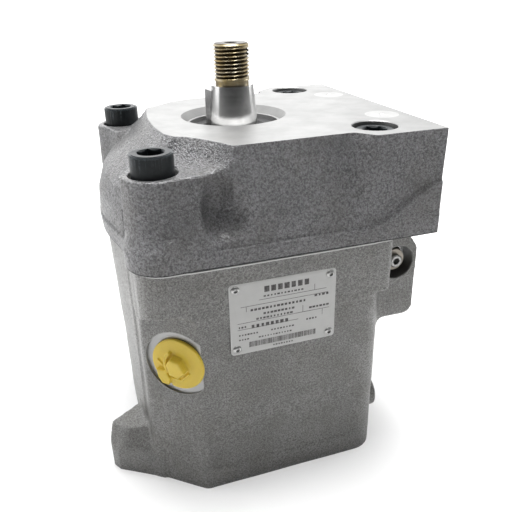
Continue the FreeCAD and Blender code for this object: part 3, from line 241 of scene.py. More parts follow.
def rounded(corners, step=12.0):
    """Outline points from (x, y, radius) corners, each rounded by an arc."""
    points = []
    for i, (x, y, r) in enumerate(corners):
        if r <= 0.0:
            points.append((x, y))
            continue
        here = Vector((x, y))
        before = (Vector(corners[i - 1][:2]) - here).normalized()
        after = (Vector(corners[(i + 1) % len(corners)][:2]) - here).normalized()
        half = before.angle(after) / 2.0
        centre = here + (before + after).normalized() * (r / math.sin(half))
        start = here + before * (r / math.tan(half)) - centre
        end = here + after * (r / math.tan(half)) - centre
        turn = start.angle_signed(end)
        count = max(2, int(abs(math.degrees(turn)) / step))
        for k in range(count + 1):
            spoke = start.copy()
            spoke.rotate(Matrix.Rotation(-turn * k / count, 2))
            points.append(tuple(centre + spoke))
    return points


def plane_field(x, y, z, point, normal):
    """Signed distance to a plane, negative behind it."""
    n = Vector(normal).normalized()
    return (x - point[0]) * n.x + (y - point[1]) * n.y + (z - point[2]) * n.z


def plane_through(a, b, c):
    """Normal of the plane through three points."""
    return (Vector(b) - Vector(a)).cross(Vector(c) - Vector(a))


def between(value, low, high):
    """Signed distance to a slab."""
    return np.maximum(low - value, value - high)


def unevenness(x, y, z):
    """Slow waves of a few hundredths, as a cast face has."""
    return 0.07 * (np.sin(x / 7.3 + z / 19.0) + np.sin(y / 8.9 - z / 11.0) + np.sin(z / 6.1 + x / 23.0))


def bulge_field(x, y, side_x, crown_x):
    """Swelling of the left wall over the stroking piston."""
    skin = side_x - (side_x - crown_x) * (1.0 - (y / BULGE_HALF_Y) ** 2)
    return np.maximum(np.maximum(skin - x, np.abs(y) - BULGE_HALF_Y), x + 30.0)


def pot_field(x, y, z, fillet):
    """Outside of the lower casing before machining."""
    low = outline_field(POT_OUTLINE, x, y)
    panel = smooth_step((x + 45.0) / 6.0) * smooth_step((51.0 - x) / 6.0) * smooth_step(-y / DEPTH)
    rise = smooth_step((z - 12.0) / 3.0) * (1.0 - smooth_step((z - 18.0) / 60.0))
    body = low + 1.1 * panel * rise
    along = (x - DRAIN_AT.x) * -DRAIN_AXIS.y + (y - DRAIN_AT.y) * DRAIN_AXIS.x
    arch_z = NECK_Z + 7.0 * np.clip(1.0 - (along / 19.0) ** 2, 0.0, 1.0)
    neck = np.maximum(outline_field(NECK_OUTLINE, x, y), (arch_z - z) * 0.75)
    body = joined(body, neck, 2.5)
    crown_x = -74.0 - 5.0 * z / JOINT_Z
    body = joined(body, bulge_field(x, y, LEFT_X, crown_x), fillet)
    control = np.maximum(outline_field(CONTROL_OUTLINE, x, z), BOX_FRONT_Y - y)
    control = common(control, y - DEPTH, 1.5)
    body = joined(body, control, 1.6 * fillet)
    arm = np.maximum(outline_field(ARM_OUTLINE, x, y), between(z, 8.0, BOX_LOW_Z + 2.0))
    body = joined(body, arm, fillet)
    pad = np.sqrt((y - PAD_AT[1]) ** 2 + (z - PAD_AT[2]) ** 2) - PAD_R
    body = joined(body, common(np.maximum(pad, 50.0 - x), x - PAD_AT[0], 1.0), 3.0)
    lug = common(outline_field(LUG_OUTLINE, x, y), z - 40.0, 2.5)
    for point, normal in LUG_FACETS:
        lug = common(lug, plane_field(x, y, z, point, normal), 0.7)
    body = joined(body, lug, 0.5 * fillet)
    body = np.maximum(body, -(DEPTH + 0.6) - y)
    return body + unevenness(x, y, z)


def band_top(x):
    """Height of the step that the mould joint leaves round the port block."""
    rise = smooth_step(np.clip((x - SLAB_X) / (PORT_FACE_X - SLAB_X), 0.0, 1.0) ** 1.35)
    arch = np.exp(-((x + 55.0) / 10.0) ** 2)
    return SKIRT_Z - 3.7 + 20.9 * rise + 8.0 * arch


def block_field(x, y, z, fillet, band):
    """Outside of the port block before machining."""
    t = np.clip((z - SKIRT_Z + 1.0) / (TOP_Z - SKIRT_Z + 1.0), 0.0, 1.06)
    low = outline_field(SKIRT_OUTLINE, x, y)
    high = outline_field(CROWN_OUTLINE, x, y)
    body = low + (high - low) * t
    slab = np.maximum(np.abs(y) - DEPTH, SLAB_X - x)
    slab = common(slab, plane_field(x, y, z, FRONT_FACET[0], FRONT_NORMAL), 1.2)
    slab = common(slab, plane_field(x, y, z, BACK_FACET[0], BACK_NORMAL), 1.2)
    body = joined(body, slab, 0.3 * fillet)
    side_x = np.interp(z, (SKIRT_Z + 9.0, SKIRT_Z + 19.0, TOP_Z), (LEFT_X, LEFT_X + 2.0, -42.0))
    crown_x = np.interp(z, BULGE_Z, BULGE_X)
    body = joined(body, bulge_field(x, y, side_x, crown_x), fillet)
    for side, (sx, sy) in zip((-1.0, 1.0), SCREWS_AT[:2]):
        ear = np.sqrt((x - sx) ** 2 + (y - sy) ** 2) - BOSS_R + 0.3
        shelf = [(sx, sy + side * 15.0), (-37.0, side * 71.5), (-22.0, side * 66.0),
                 (-34.0, side * 35.0), (-64.0, side * 35.0), (sx - 15.0, sy)]
        plateau = np.maximum(outline_field(shelf, x, y), SKIRT_Z + 8.0 - z)
        ear = joined(ear, plateau, 3.0)
        body = joined(body, common(ear, z - EAR_Z, 1.3), 1.3 * fillet)
    for centre, size in POCKETS:
        dent = np.sqrt(sum(((at - c) / r) ** 2 for at, c, r in zip((x, y, z), centre, size)))
        body = common(body, (1.0 - dent) * min(size), 0.35 * fillet)
    step = smooth_step((band_top(x) - z) / 1.3 + 0.5)
    body = body - band * step
    body = common(body, z - TOP_Z - 1.0, 0.5 + 1.2 * smooth_step((-6.0 - x) / 22.0))
    return body + 1.3 * unevenness(x, y, z)


POT_OUTLINE = rounded([
    (CHAMFER_X, -DEPTH, 5.0), (POT_RIGHT_X, -DEPTH, 14.0), (POT_RIGHT_X, DEPTH, 14.0),
    (CHAMFER_X, DEPTH, 5.0), (LEFT_X, CHAMFER_Y, 6.0), (LEFT_X, -CHAMFER_Y, 6.0),
])
NECK_OUTLINE = rounded([
    (LEFT_X, -DEPTH, BOSS_R), (NECK_RIGHT_X, -DEPTH, 5.0),
    (NECK_RIGHT_X, DEPTH, 5.0), (LEFT_X, DEPTH, BOSS_R),
])
CONTROL_OUTLINE = rounded([
    (54.0, BOX_LOW_Z, 0.0), (BOX_RIGHT_X, BOX_LOW_Z, 6.0), (BOX_RIGHT_X, BOX_SHELF_Z, 9.0),
    (85.0, 137.0, 4.0), (79.0, JOINT_Z + 3.0, 0.0), (54.0, JOINT_Z + 3.0, 0.0),
])
ARM_OUTLINE = rounded([(56.0, -29.0, 0.0), (76.0, -16.0, 6.0), (76.0, 16.0, 6.0), (56.0, 29.0, 0.0)])
LUG_OUTLINE = [(POT_LOW[0], -36.0), (POT_LOW[0], -39.0), (POT_LOW[0] + 3.2, -44.3),
               (-68.8, -59.8), (-55.0, -45.0), (-60.0, -24.0), (-75.0, -27.0), (POT_LOW[0] + 2.5, -30.5)]
LUG_FACETS = (
    ((-85.5, -41.6, 28.0), (-0.324, -0.172, 0.930)),
    ((-90.7, -46.0, 16.8), (-0.486, -0.712, 0.506)),
    ((-85.5, -41.6, 28.0), (-0.690, -0.504, 0.518)),
)
SKIRT_OUTLINE = rounded([
    (LEFT_X, -DEPTH, BOSS_R), (PORT_FACE_X + 4.0, -DEPTH, 0.0),
    (PORT_FACE_X + 4.0, DEPTH, 0.0), (LEFT_X, DEPTH, BOSS_R),
])
CROWN_OUTLINE = [
    (50.0, -67.5), (-21.0, -69.5), (-24.0, -63.0), (-32.0, -50.0), (-46.0, -33.0), (-47.0, -15.6),
    (-47.0, 9.0), (-42.0, 40.0), (-26.0, 55.0), (-12.0, 60.0), (33.0, 60.0), (50.0, 64.0),
]
FRONT_FACET = ((50.5, -DEPTH, TOP_Z), (41.5, -66.0, TOP_Z), (42.5, -DEPTH, TOP_Z - 43.0))
BACK_FACET = ((50.0, DEPTH, TOP_Z), (41.0, DEPTH, TOP_Z - 30.0), (40.5, 70.0, TOP_Z))
FRONT_NORMAL = plane_through(*FRONT_FACET)
BACK_NORMAL = plane_through(*BACK_FACET)
POCKETS = (
    ((-30.5, -DEPTH - 0.5, SKIRT_Z + 18.0), (9.0, 12.0, 16.0)),
    ((-27.0, -DEPTH - 2.0, SKIRT_Z + 13.0), (12.5, 10.0, 12.5)),
    ((-28.0, DEPTH + 0.5, SKIRT_Z + 12.0), (11.0, 10.0, 11.5)),
)
BULGE_Z = (FOOT_Z, SKIRT_Z, TOP_Z - 36.0, TOP_Z - 26.0, TOP_Z)
BULGE_X = (-80.0, -81.0, -80.2, -76.7, -47.0)


# ---------------------------------------------------------------- meshes

def net_mesh(field, low, pitch):
    """Points and quads of the zero surface of a sampled field: one point in each cell it crosses."""
    inside = field < 0.0
    cells = np.array(field.shape) - 1
    total = np.zeros((int(cells.prod()), 3))
    hits = np.zeros(int(cells.prod()))
    crossings = []
    for axis in range(3):
        near = tuple(slice(None, -1) if k == axis else slice(None) for k in range(3))
        far = tuple(slice(1, None) if k == axis else slice(None) for k in range(3))
        at = np.argwhere(inside[near] != inside[far])
        a = field[near][tuple(at.T)]
        b = field[far][tuple(at.T)]
        places = at.astype(float)
        places[:, axis] += a / (a - b)
        u, v = (axis + 1) % 3, (axis + 2) % 3
        keep = (at[:, u] > 0) & (at[:, v] > 0) & (at[:, u] < cells[u]) & (at[:, v] < cells[v])
        at, a, places = at[keep], a[keep], places[keep]
        ring = []
        for du, dv in ((0, 0), (1, 0), (1, 1), (0, 1)):
            cell = at.copy()
            cell[:, u] -= du
            cell[:, v] -= dv
            index = np.ravel_multi_index(tuple(cell.T), tuple(cells))
            np.add.at(total, index, places)
            np.add.at(hits, index, 1)
            ring.append(index)
        quads = np.stack(ring, 1)
        quads[a > 0.0] = quads[a > 0.0][:, ::-1]
        crossings.append(quads)
    used = hits > 0
    number = np.cumsum(used) - 1
    points = total[used] / hits[used][:, None] * pitch + low
    return points, number[np.concatenate(crossings)]


def settled(points, field, limit):
    """Points moved onto the zero surface of a field."""
    nudge = 0.02
    for _ in range(4):
        x, y, z = points.T
        value = field(x, y, z)
        slope = np.stack([
            field(x + nudge, y, z) - field(x - nudge, y, z),
            field(x, y + nudge, z) - field(x, y - nudge, z),
            field(x, y, z + nudge) - field(x, y, z - nudge),
        ], 1) / (2.0 * nudge)
        size = np.maximum((slope ** 2).sum(1), 0.2)
        move = -(value / size)[:, None] * slope
        length = np.maximum(np.linalg.norm(move, axis=1), 1e-9)
        points = points + move * np.minimum(1.0, limit / length)[:, None]
    return points


def skin_mesh(name, field, low, high, pitch):
    """Closed mesh of a field's zero surface, cut square just inside two corners, in metres."""
    inset = 1.3 * pitch

    def closed(x, y, z):
        value = field(x, y, z)
        for at, a, b in zip((x, y, z), low, high):
            value = np.maximum(value, between(at, a + inset, b - inset))
        return value

    axes = [np.arange(a, b + pitch, pitch) for a, b in zip(low, high)]
    x, y, z = np.meshgrid(*axes, indexing="ij", sparse=True)
    points, quads = net_mesh(closed(x, y, z), np.array(low, float), pitch)
    points = settled(points, closed, 0.45 * pitch)
    mesh = bpy.data.meshes.new(name)
    mesh.from_pydata((points * MM).tolist(), [], quads.tolist())
    mesh.update()
    return mesh


def mesh_of(name, build):
    """New mesh from a function that fills a bmesh in millimetres."""
    shape = bmesh.new()
    build(shape)
    bmesh.ops.recalc_face_normals(shape, faces=shape.faces)
    bmesh.ops.scale(shape, vec=(MM, MM, MM), verts=shape.verts)
    mesh = bpy.data.meshes.new(name)
    shape.to_mesh(mesh)
    shape.free()
    return mesh


def frame_at(origin, axis):
    """Place whose Z is along an axis and whose Y is as near up as it can be."""
    back = Vector(axis).normalized()
    up = Vector((0.0, 0.0, 1.0)) if abs(back.z) < 0.9 else Vector((0.0, 1.0, 0.0))
    right = up.cross(back).normalized()
    matrix = Matrix((right, back.cross(right), back)).transposed().to_4x4()
    matrix.translation = Vector(origin)
    return matrix


ALONG_Z = Matrix.Identity(4)


def add_turned(shape, profile, place=ALONG_Z, steps=96):
    """Closed turned solid from (radius, height) points, the ends on the axis or joined up."""
    rings = []
    for radius, height in profile:
        if radius < 1e-6:
            rings.append([shape.verts.new(place @ Vector((0.0, 0.0, height)))])
            continue
        ring = []
        for k in range(steps):
            turn = 2.0 * math.pi * k / steps
            spot = Vector((radius * math.cos(turn), radius * math.sin(turn), height))
            ring.append(shape.verts.new(place @ spot))
        rings.append(ring)
    open_ended = len(rings[0]) == 1 and len(rings[-1]) == 1
    pairs = list(zip(rings, rings[1:])) + ([] if open_ended else [(rings[-1], rings[0])])
    for a, b in pairs:
        for k in range(steps):
            corners = [a[k % len(a)], a[(k + 1) % len(a)], b[(k + 1) % len(b)], b[k % len(b)]]
            corners = [v for n, v in enumerate(corners) if v not in corners[:n]]
            if len(corners) > 2:
                shape.faces.new(corners)


def add_prism(shape, outline, low, high, place=ALONG_Z):
    """Closed prism from (x, y) points."""
    bottom = [shape.verts.new(place @ Vector((x, y, low))) for x, y in outline]
    top = [shape.verts.new(place @ Vector((x, y, high))) for x, y in outline]
    shape.faces.new(bottom)
    shape.faces.new(top)
    for i in range(len(outline)):
        k = (i + 1) % len(outline)
        shape.faces.new((bottom[i], bottom[k], top[k], top[i]))


def turned(profile, place=ALONG_Z, steps=96):
    """Mesh of one turned solid."""
    return mesh_of("turned", lambda shape: add_turned(shape, profile, place, steps))


def prism(outline, low, high, place=ALONG_Z):
    """Mesh of one prism."""
    return mesh_of("prism", lambda shape: add_prism(shape, outline, low, high, place))


def drilled(radius, low, high, x=0.0, y=0.0, steps=72):
    """Mesh of a cylinder along Z between two heights."""
    profile = [(0.0, low), (radius, low), (radius, high), (0.0, high)]
    return turned(profile, Matrix.Translation((x, y, 0.0)), steps)


def bored(radius, start, end, origin, axis, steps=72, bevel=0.0):
    """Mesh of a cylinder along any axis, opening out at its far end by a bevel."""
    profile = [(0.0, start), (radius, start), (radius, end - bevel)]
    if bevel:
        profile.append((radius + bevel, end))
        profile.append((radius + bevel, end + 2.0))
        profile.append((0.0, end + 2.0))
    else:
        profile.append((radius, end))
        profile.append((0.0, end))
    return turned(profile, frame_at(origin, axis), steps)


def block(low, high):
    """Mesh of a plain box."""
    outline = [(low[0], low[1]), (high[0], low[1]), (high[0], high[1]), (low[0], high[1])]
    return prism(outline, low[2], high[2])


def hexagon(across_flats):
    """Outline of a hexagon."""
    corner = across_flats / math.sqrt(3.0)
    return [(corner * math.cos(math.radians(60.0 * i)), corner * math.sin(math.radians(60.0 * i)))
            for i in range(6)]


def kidney(radius, width, half_angle, centre_angle, low, high):
    """Mesh of a curved slot: its far end round, its near end hollowed by the same arc."""
    points = []
    for side, spread in ((1.0, range(-10, 11)), (-1.0, range(10, -11, -1))):
        for k in spread:
            turn = math.radians(centre_angle + half_angle * k / 10.0)
            reach = radius + side * width / 2.0
            points.append((reach * math.cos(turn), reach * math.sin(turn)))
        end = math.radians(centre_angle + side * half_angle)
        middle = Vector((radius * math.cos(end), radius * math.sin(end)))
        for k in range(1, 8) if side > 0.0 else range(7, 0, -1):
            turn = end + math.pi * k / 8.0
            points.append(tuple(middle + Vector((math.cos(turn), math.sin(turn))) * width / 2.0))
    return prism(points, low, high)


def evaluated_mesh(piece):
    """Plain mesh of an object with its modifiers."""
    piece_now = piece.evaluated_get(bpy.context.evaluated_depsgraph_get())
    return bpy.data.meshes.new_from_object(piece_now)


def combined(mesh, tools, operation="DIFFERENCE"):
    """A mesh with each tool cut out of it, joined to it or kept in common."""
    for tool in tools:
        body = bpy.data.objects.new("work", mesh)
        cutter = bpy.data.objects.new("tool", tool)
        for item in (body, cutter):
            bpy.context.scene.collection.objects.link(item)
        boolean = body.modifiers.new("cut", "BOOLEAN")
        boolean.operation = operation
        boolean.solver = "MANIFOLD"
        boolean.object = cutter
        result = evaluated_mesh(body)
        if len(result.polygons) == 0:
            raise RuntimeError("a boolean left nothing of " + mesh.name)
        for item in (body, cutter):
            bpy.data.objects.remove(item)
        bpy.data.meshes.remove(tool)
        mesh = result
    return mesh


def merged(meshes, name):
    """One mesh of several, side by side."""
    shape = bmesh.new()
    for mesh in meshes:
        shape.from_mesh(mesh)
    result = bpy.data.meshes.new(name)
    shape.to_mesh(result)
    shape.free()
    return result


def smooth_shaded(mesh, degrees=32.0):
    """Smooth shading with sharp edges past an angle."""
    mesh.shade_smooth()
    mesh.set_sharp_from_angle(angle=math.radians(degrees))
    return mesh


def add_piece(name, mesh, materials, body, nodes=()):
    """Puts a finished mesh in the scene as a piece that rides on a body."""
    mesh.name = name
    indices = np.zeros(len(mesh.polygons), np.int32)
    mesh.polygons.foreach_get("material_index", indices)
    mesh.materials.clear()
    for material in materials:
        mesh.materials.append(material)
    mesh.polygons.foreach_set("material_index", indices)
    piece = bpy.data.objects.new(name, mesh)
    bpy.context.scene.collection.objects.link(piece)
    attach(piece, body)
    if nodes:
        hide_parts(*nodes)
    return piece


def split_skin(mesh, field, tolerance=0.32, flat_z=1e9):
    """Second material on each face that lies off the cast skin or on the machined top."""
    count = len(mesh.polygons)
    centres = np.zeros(count * 3, np.float32)
    mesh.polygons.foreach_get("center", centres)
    x, y, z = centres.reshape(-1, 3).astype(float).T / MM
    machined = (np.abs(field(x, y, z)) > tolerance) | (z > flat_z - 0.05)
    mesh.polygons.foreach_set("material_index", machined.astype(np.int32))
    mesh.update()


# ---------------------------------------------------------------- node trees

class Tree:
    """A node tree that takes new nodes with their inputs in one call."""

    def __init__(self, tree):
        self.tree = tree

    def add(self, kind, values=None, **settings):
        """New node: settings are its properties, values its inputs by name or number."""
        node = self.tree.nodes.new(kind)
        for key, value in settings.items():
            setattr(node, key, value)
        for key, value in (values or {}).items():
            self.set(node, key, value)
        return node

    def set(self, node, key, value):
        """Links or sets one input."""
        if isinstance(value, bpy.types.NodeSocket):
            self.tree.links.new(value, node.inputs[key])
        else:
            node.inputs[key].default_value = value

    def math(self, operation, a, b=0.0, clamp=False):
        """Result of a math node."""
        return self.add("ShaderNodeMath", {0: a, 1: b}, operation=operation,
                        use_clamp=clamp).outputs[0]

    def plus(self, base, value, share):
        """A value added to another in part."""
        return self.math("ADD", base, self.math("MULTIPLY", value, share))

    def over(self, base, mask, share, colour):
        """A colour laid over another through part of a mask."""
        return self.mix(self.math("MULTIPLY", mask, share), base, colour)

    def from_axis(self, place):
        """Separate coordinates of a place, and its distance from the Z axis."""
        parts = self.add("ShaderNodeSeparateXYZ", {0: place}).outputs
        flat = self.add("ShaderNodeCombineXYZ", {"X": parts["X"], "Y": parts["Y"]})
        away = self.add("ShaderNodeVectorMath", {0: flat.outputs[0]}, operation="LENGTH")
        return parts, away.outputs["Value"]

    def ramp(self, factor, low, high):
        """0 to 1 as a value goes from low to high."""
        values = {"Value": factor, "From Min": low, "From Max": high}
        return self.add("ShaderNodeMapRange", values, clamp=True).outputs[0]

    def mix(self, factor, a, b):
        """Blend of two colours."""
        return self.add("ShaderNodeMix", {0: factor, 6: a, 7: b}, data_type="RGBA").outputs[2]

    def noise(self, vector, scale, detail=3.0, roughness=0.55):
        """Noise value."""
        values = {"Vector": vector, "Scale": scale, "Detail": detail, "Roughness": roughness}
        return self.add("ShaderNodeTexNoise", values).outputs["Fac"]


def new_group(name, kind, inputs, outputs):
    """Empty node group with named sockets: (name, socket type, default)."""
    group = bpy.data.node_groups.new(name, kind)
    for label, socket, default in inputs:
        item = group.interface.new_socket(label, in_out="INPUT", socket_type=socket)
        if default is not None:
            item.default_value = default
    for label, socket in outputs:
        group.interface.new_socket(label, in_out="OUTPUT", socket_type=socket)
    tree = Tree(group)
    start = tree.add("NodeGroupInput")
    end = tree.add("NodeGroupOutput")
    return tree, start, end


FLOAT = "NodeSocketFloat"


def sand_skin_group():
    """Skin of a sand casting: height, bright flecks and slow changes of tone."""
    tree, start, end = new_group(
        "Sand skin", "ShaderNodeTree",
        [("Grain", FLOAT, 1.0), ("Roughness", FLOAT, 0.6)],
        [("Height", FLOAT), ("Fleck", FLOAT), ("Tone", FLOAT), ("Pit", FLOAT)])
    place = tree.add("ShaderNodeTexCoord").outputs["Object"]
    per_grain = tree.math("DIVIDE", 1000.0, start.outputs["Grain"])
    coarse = tree.noise(place, tree.math("MULTIPLY", per_grain, 0.55), 4.0, start.outputs["Roughness"])
    cells = tree.add("ShaderNodeTexVoronoi", {
        "Vector": place, "Scale": per_grain, "Smoothness": 0.6, "Randomness": 1.0,
    }, feature="SMOOTH_F1").outputs["Distance"]
    fine = tree.noise(place, tree.math("MULTIPLY", per_grain, 2.6), 2.0, 0.7)
    height = tree.math("ADD", tree.math("MULTIPLY", coarse, 1.1), tree.math("MULTIPLY", cells, -0.55))
    height = tree.plus(height, fine, 0.35)
    flecks = tree.ramp(tree.noise(place, tree.math("MULTIPLY", per_grain, 1.7), 1.0, 0.5), 0.60, 0.74)
    slow = tree.noise(place, 38.0, 4.0, 0.6)
    pits = tree.ramp(tree.noise(place, tree.math("MULTIPLY", per_grain, 0.30), 3.0, 0.6), 0.34, 0.27)
    for label, value in (("Height", height), ("Fleck", flecks), ("Tone", slow), ("Pit", pits)):
        tree.set(end, label, value)
    return tree.tree


def edge_highlight_and_rubbing_group():
    """Mask that is 1 on edges, brightened by a painted highlight as well as by handling and tooling."""
    tree, start, end = new_group(
        "Edge highlight and rubbing", "ShaderNodeTree",
        [("Radius", FLOAT, 0.0008), ("Breakup", FLOAT, 900.0)], [("Mask", FLOAT)])
    soft = tree.add("ShaderNodeBevel", {"Radius": start.outputs["Radius"]}, samples=6)
    hard = tree.add("ShaderNodeNewGeometry")
    agree = tree.add("ShaderNodeVectorMath", {0: soft.outputs[0], 1: hard.outputs["Normal"]},
                     operation="DOT_PRODUCT").outputs["Value"]
    place = tree.add("ShaderNodeTexCoord").outputs["Object"]
    patchy = tree.ramp(tree.noise(place, start.outputs["Breakup"], 3.0, 0.6), 0.30, 0.62)
    edge = tree.ramp(agree, 0.992, 0.90)
    tree.set(end, "Mask", tree.math("MULTIPLY", edge, patchy, clamp=True))
    return tree.tree


def tool_mark_group():
    """Fine marks of milling, turning or brushing: rings about Z, or lines along one axis."""
    tree, start, end = new_group(
        "Tool marks", "ShaderNodeTree",
        [("Spacing", FLOAT, 0.35), ("Rings", FLOAT, 0.0), ("Lean", FLOAT, 0.0)],
        [("Height", FLOAT), ("Tone", FLOAT)])
    place = tree.add("ShaderNodeTexCoord").outputs["Object"]
    parts, radius = tree.from_axis(place)
    line = tree.plus(tree.plus(parts["Y"], parts["X"], start.outputs["Lean"]), parts["Z"], 0.93)
    rings = tree.math("ADD", radius, parts["Z"])
    step = tree.add("ShaderNodeMix", {0: start.outputs["Rings"], 2: line, 3: rings}, data_type="FLOAT")
    along = tree.add("ShaderNodeCombineXYZ", {"X": step.outputs[0]})
    wander = tree.add("ShaderNodeVectorMath", {0: place, "Scale": 0.012}, operation="SCALE")
    spot = tree.add("ShaderNodeVectorMath", {0: along.outputs[0], 1: wander.outputs[0]}, operation="ADD")
    scale = tree.math("DIVIDE", 1000.0, start.outputs["Spacing"])
    marks = tree.noise(spot.outputs[0], scale, 3.0, 0.7)
    blotch = tree.noise(place, 45.0, 3.0, 0.55)
    tree.set(end, "Height", marks)
    tree.set(end, "Tone", tree.math("ADD", tree.math("MULTIPLY", marks, 0.45),
                                    tree.math("MULTIPLY", blotch, 0.55)))
    return tree.tree


def grime_group():
    """Thin oil and dust: a slow mask in patches."""
    tree, start, end = new_group(
        "Grime", "ShaderNodeTree", [("Scale", FLOAT, 60.0), ("Amount", FLOAT, 0.5)], [("Mask", FLOAT)])
    place = tree.add("ShaderNodeTexCoord").outputs["Object"]
    patches = tree.ramp(tree.noise(place, start.outputs["Scale"], 5.0, 0.62), 0.42, 0.72)
    tree.set(end, "Mask", tree.math("MULTIPLY", patches, start.outputs["Amount"], clamp=True))
    return tree.tree


GROUPS = {}


def group(tree, name, values=None):
    """A shared effect placed in a material's tree, made the first time it is asked for."""
    makers = {"Sand skin": sand_skin_group, "Edge highlight and rubbing": edge_highlight_and_rubbing_group,
              "Tool marks": tool_mark_group, "Grime": grime_group}
    if name not in GROUPS:
        GROUPS[name] = makers[name]()
    node = tree.add("ShaderNodeGroup", node_tree=GROUPS[name])
    for key, value in (values or {}).items():
        tree.set(node, key, value)
    return node


def edge_sheen_and_grime(tree, radius, breakup, scale, amount):
    """Masks of edges brightened by painted highlight and rubbing, up to a radius in metres, and of grime."""
    edges = group(tree, "Edge highlight and rubbing", {"Radius": radius, "Breakup": breakup})
    grime = group(tree, "Grime", {"Scale": scale, "Amount": amount})
    return edges.outputs[0], grime.outputs[0]


def new_material(name):
    """Empty material with one Principled shader."""
    material = bpy.data.materials.new(name)
    material.use_nodes = True
    tree = Tree(material.node_tree)
    shader = next(n for n in material.node_tree.nodes if n.type == "BSDF_PRINCIPLED")
    return material, tree, shader


def bump(tree, shader, height, depth):
    """Bump of a depth in millimetres on a shader."""
    node = tree.add("ShaderNodeBump", {"Height": height, "Distance": depth * MM, "Strength": 1.0})
    tree.set(shader, "Normal", node.outputs[0])


def shade(colour, factor):
    """A colour made lighter or darker."""
    return tuple(min(1.0, c * factor) for c in colour[:3]) + (1.0,)


def cast_iron(name, colour, grain, depth, fleck, joint=None):
    """Skin of an iron casting: grain with painted shade in its hollows and painted highlight on its tops,
    flecks partly painted as glints, pits darkened as painted shade, edges brightened by painted highlight and
    rubbing, and a painted line along the joint, highlight or shade as the caller's tint gives.
    """
    material, tree, shader = new_material(name)
    skin = group(tree, "Sand skin", {"Grain": grain})
    edges, grime = edge_sheen_and_grime(tree, 0.0011, 700.0, 55.0, 0.5)
    tone = tree.ramp(skin.outputs["Tone"], 0.30, 0.70)
    base = tree.mix(tone, shade(colour, 0.82), shade(colour, 1.18))
    # Painted shade: the hollows of the grain darkened.
    base = tree.mix(tree.ramp(skin.outputs["Height"], 0.55, 0.28), base, shade(colour, 0.58))
    # Painted highlight: the tops of the grain lightened.
    base = tree.mix(tree.ramp(skin.outputs["Height"], 0.58, 0.80), base, shade(colour, 1.35))
    # Flecks: more metallic grains whose brighter colour is partly a painted glint.
    bright = tree.math("MULTIPLY", skin.outputs["Fleck"], fleck)
    base = tree.mix(bright, base, shade(colour, 2.2))
    # Painted shade: small pits darkened; no dent is made for them.
    base = tree.over(base, skin.outputs["Pit"], 0.55, shade(colour, 0.30))
    base = tree.over(base, grime, 0.5, (0.13, 0.12, 0.10, 1.0))
    # Painted highlight with rubbing: edges brightened.
    base = tree.over(base, edges, 0.6, shade(colour, 1.9))
    # Painted line along the joint: a painted highlight on the lower casing's top edge, painted shade at the
    # foot of the port block.
    if joint is not None:
        place = tree.add("ShaderNodeTexCoord").outputs["Object"]
        height = tree.add("ShaderNodeSeparateXYZ", {0: place}).outputs["Z"]
        low, high, tint = joint
        line = tree.math("MULTIPLY", tree.ramp(height, low * MM, (low + 0.15) * MM),
                         tree.ramp(height, high * MM, (high - 0.15) * MM))
        base = tree.over(base, line, 0.85, tint)
    tree.set(shader, "Base Color", base)
    rough = tree.plus(0.27, skin.outputs["Height"], 0.20)
    rough = tree.plus(rough, grime, 0.14)
    tree.set(shader, "Roughness", rough)
    tree.set(shader, "Metallic", tree.math("ADD", 0.72, tree.math("MULTIPLY", bright, 0.28), clamp=True))
    tree.set(shader, "Coat Weight", tree.ramp(skin.outputs["Height"], 0.30, 0.75))
    shader.inputs["Coat Roughness"].default_value = 0.30
    bump(tree, shader, skin.outputs["Height"], depth)
    return material


def machined_metal(name, colour, roughness, spacing=0.35, rings=0.0, depth=0.006, metallic=1.0,
                   dark=0.80):
    """Milled, turned or ground metal with fine marks."""
    material, tree, shader = new_material(name)
    marks = group(tree, "Tool marks", {"Spacing": spacing, "Rings": rings, "Lean": 0.35})
    edges, grime = edge_sheen_and_grime(tree, 0.0005, 1200.0, 70.0, 0.4)
    tone = tree.ramp(marks.outputs["Tone"], 0.32, 0.68)
    base = tree.mix(tone, shade(colour, dark), shade(colour, 1.08))
    base = tree.mix(grime, base, shade(colour, dark * 0.86))
    # Painted highlight with rubbing: edges brightened.
    base = tree.over(base, edges, 0.5, shade(colour, 1.3))
    tree.set(shader, "Base Color", base)
    rough = tree.plus(roughness - 0.06, marks.outputs["Tone"], 0.14)
    tree.set(shader, "Roughness", tree.plus(rough, grime, 0.1))
    shader.inputs["Metallic"].default_value = metallic
    bump(tree, shader, marks.outputs["Height"], depth)
    return material


def moulded(name, colour, roughness, grain, depth, coat=0.0, soft=0.0):
    """Moulded plastic or rubber with a faint skin and edges brightened by painted highlight and rubbing."""
    material, tree, shader = new_material(name)
    skin = group(tree, "Sand skin", {"Grain": grain, "Roughness": 0.5})
    edges, grime = edge_sheen_and_grime(tree, 0.0006, 500.0, 90.0, 0.35)
    tone = tree.ramp(skin.outputs["Tone"], 0.3, 0.7)
    base = tree.mix(tone, shade(colour, 0.90), shade(colour, 1.06))
    base = tree.over(base, grime, 0.4, shade(colour, 0.72))
    # Painted highlight with rubbing: edges brightened.
    base = tree.over(base, edges, 0.45, shade(colour, 1.45))
    tree.set(shader, "Base Color", base)
    rough = tree.plus(roughness, skin.outputs["Height"], 0.10)
    tree.set(shader, "Roughness", rough)
    shader.inputs["Coat Weight"].default_value = coat
    shader.inputs["Subsurface Weight"].default_value = soft
    shader.inputs["Subsurface Radius"].default_value = (0.004, 0.002, 0.0006)
    bump(tree, shader, skin.outputs["Height"], depth)
    return material


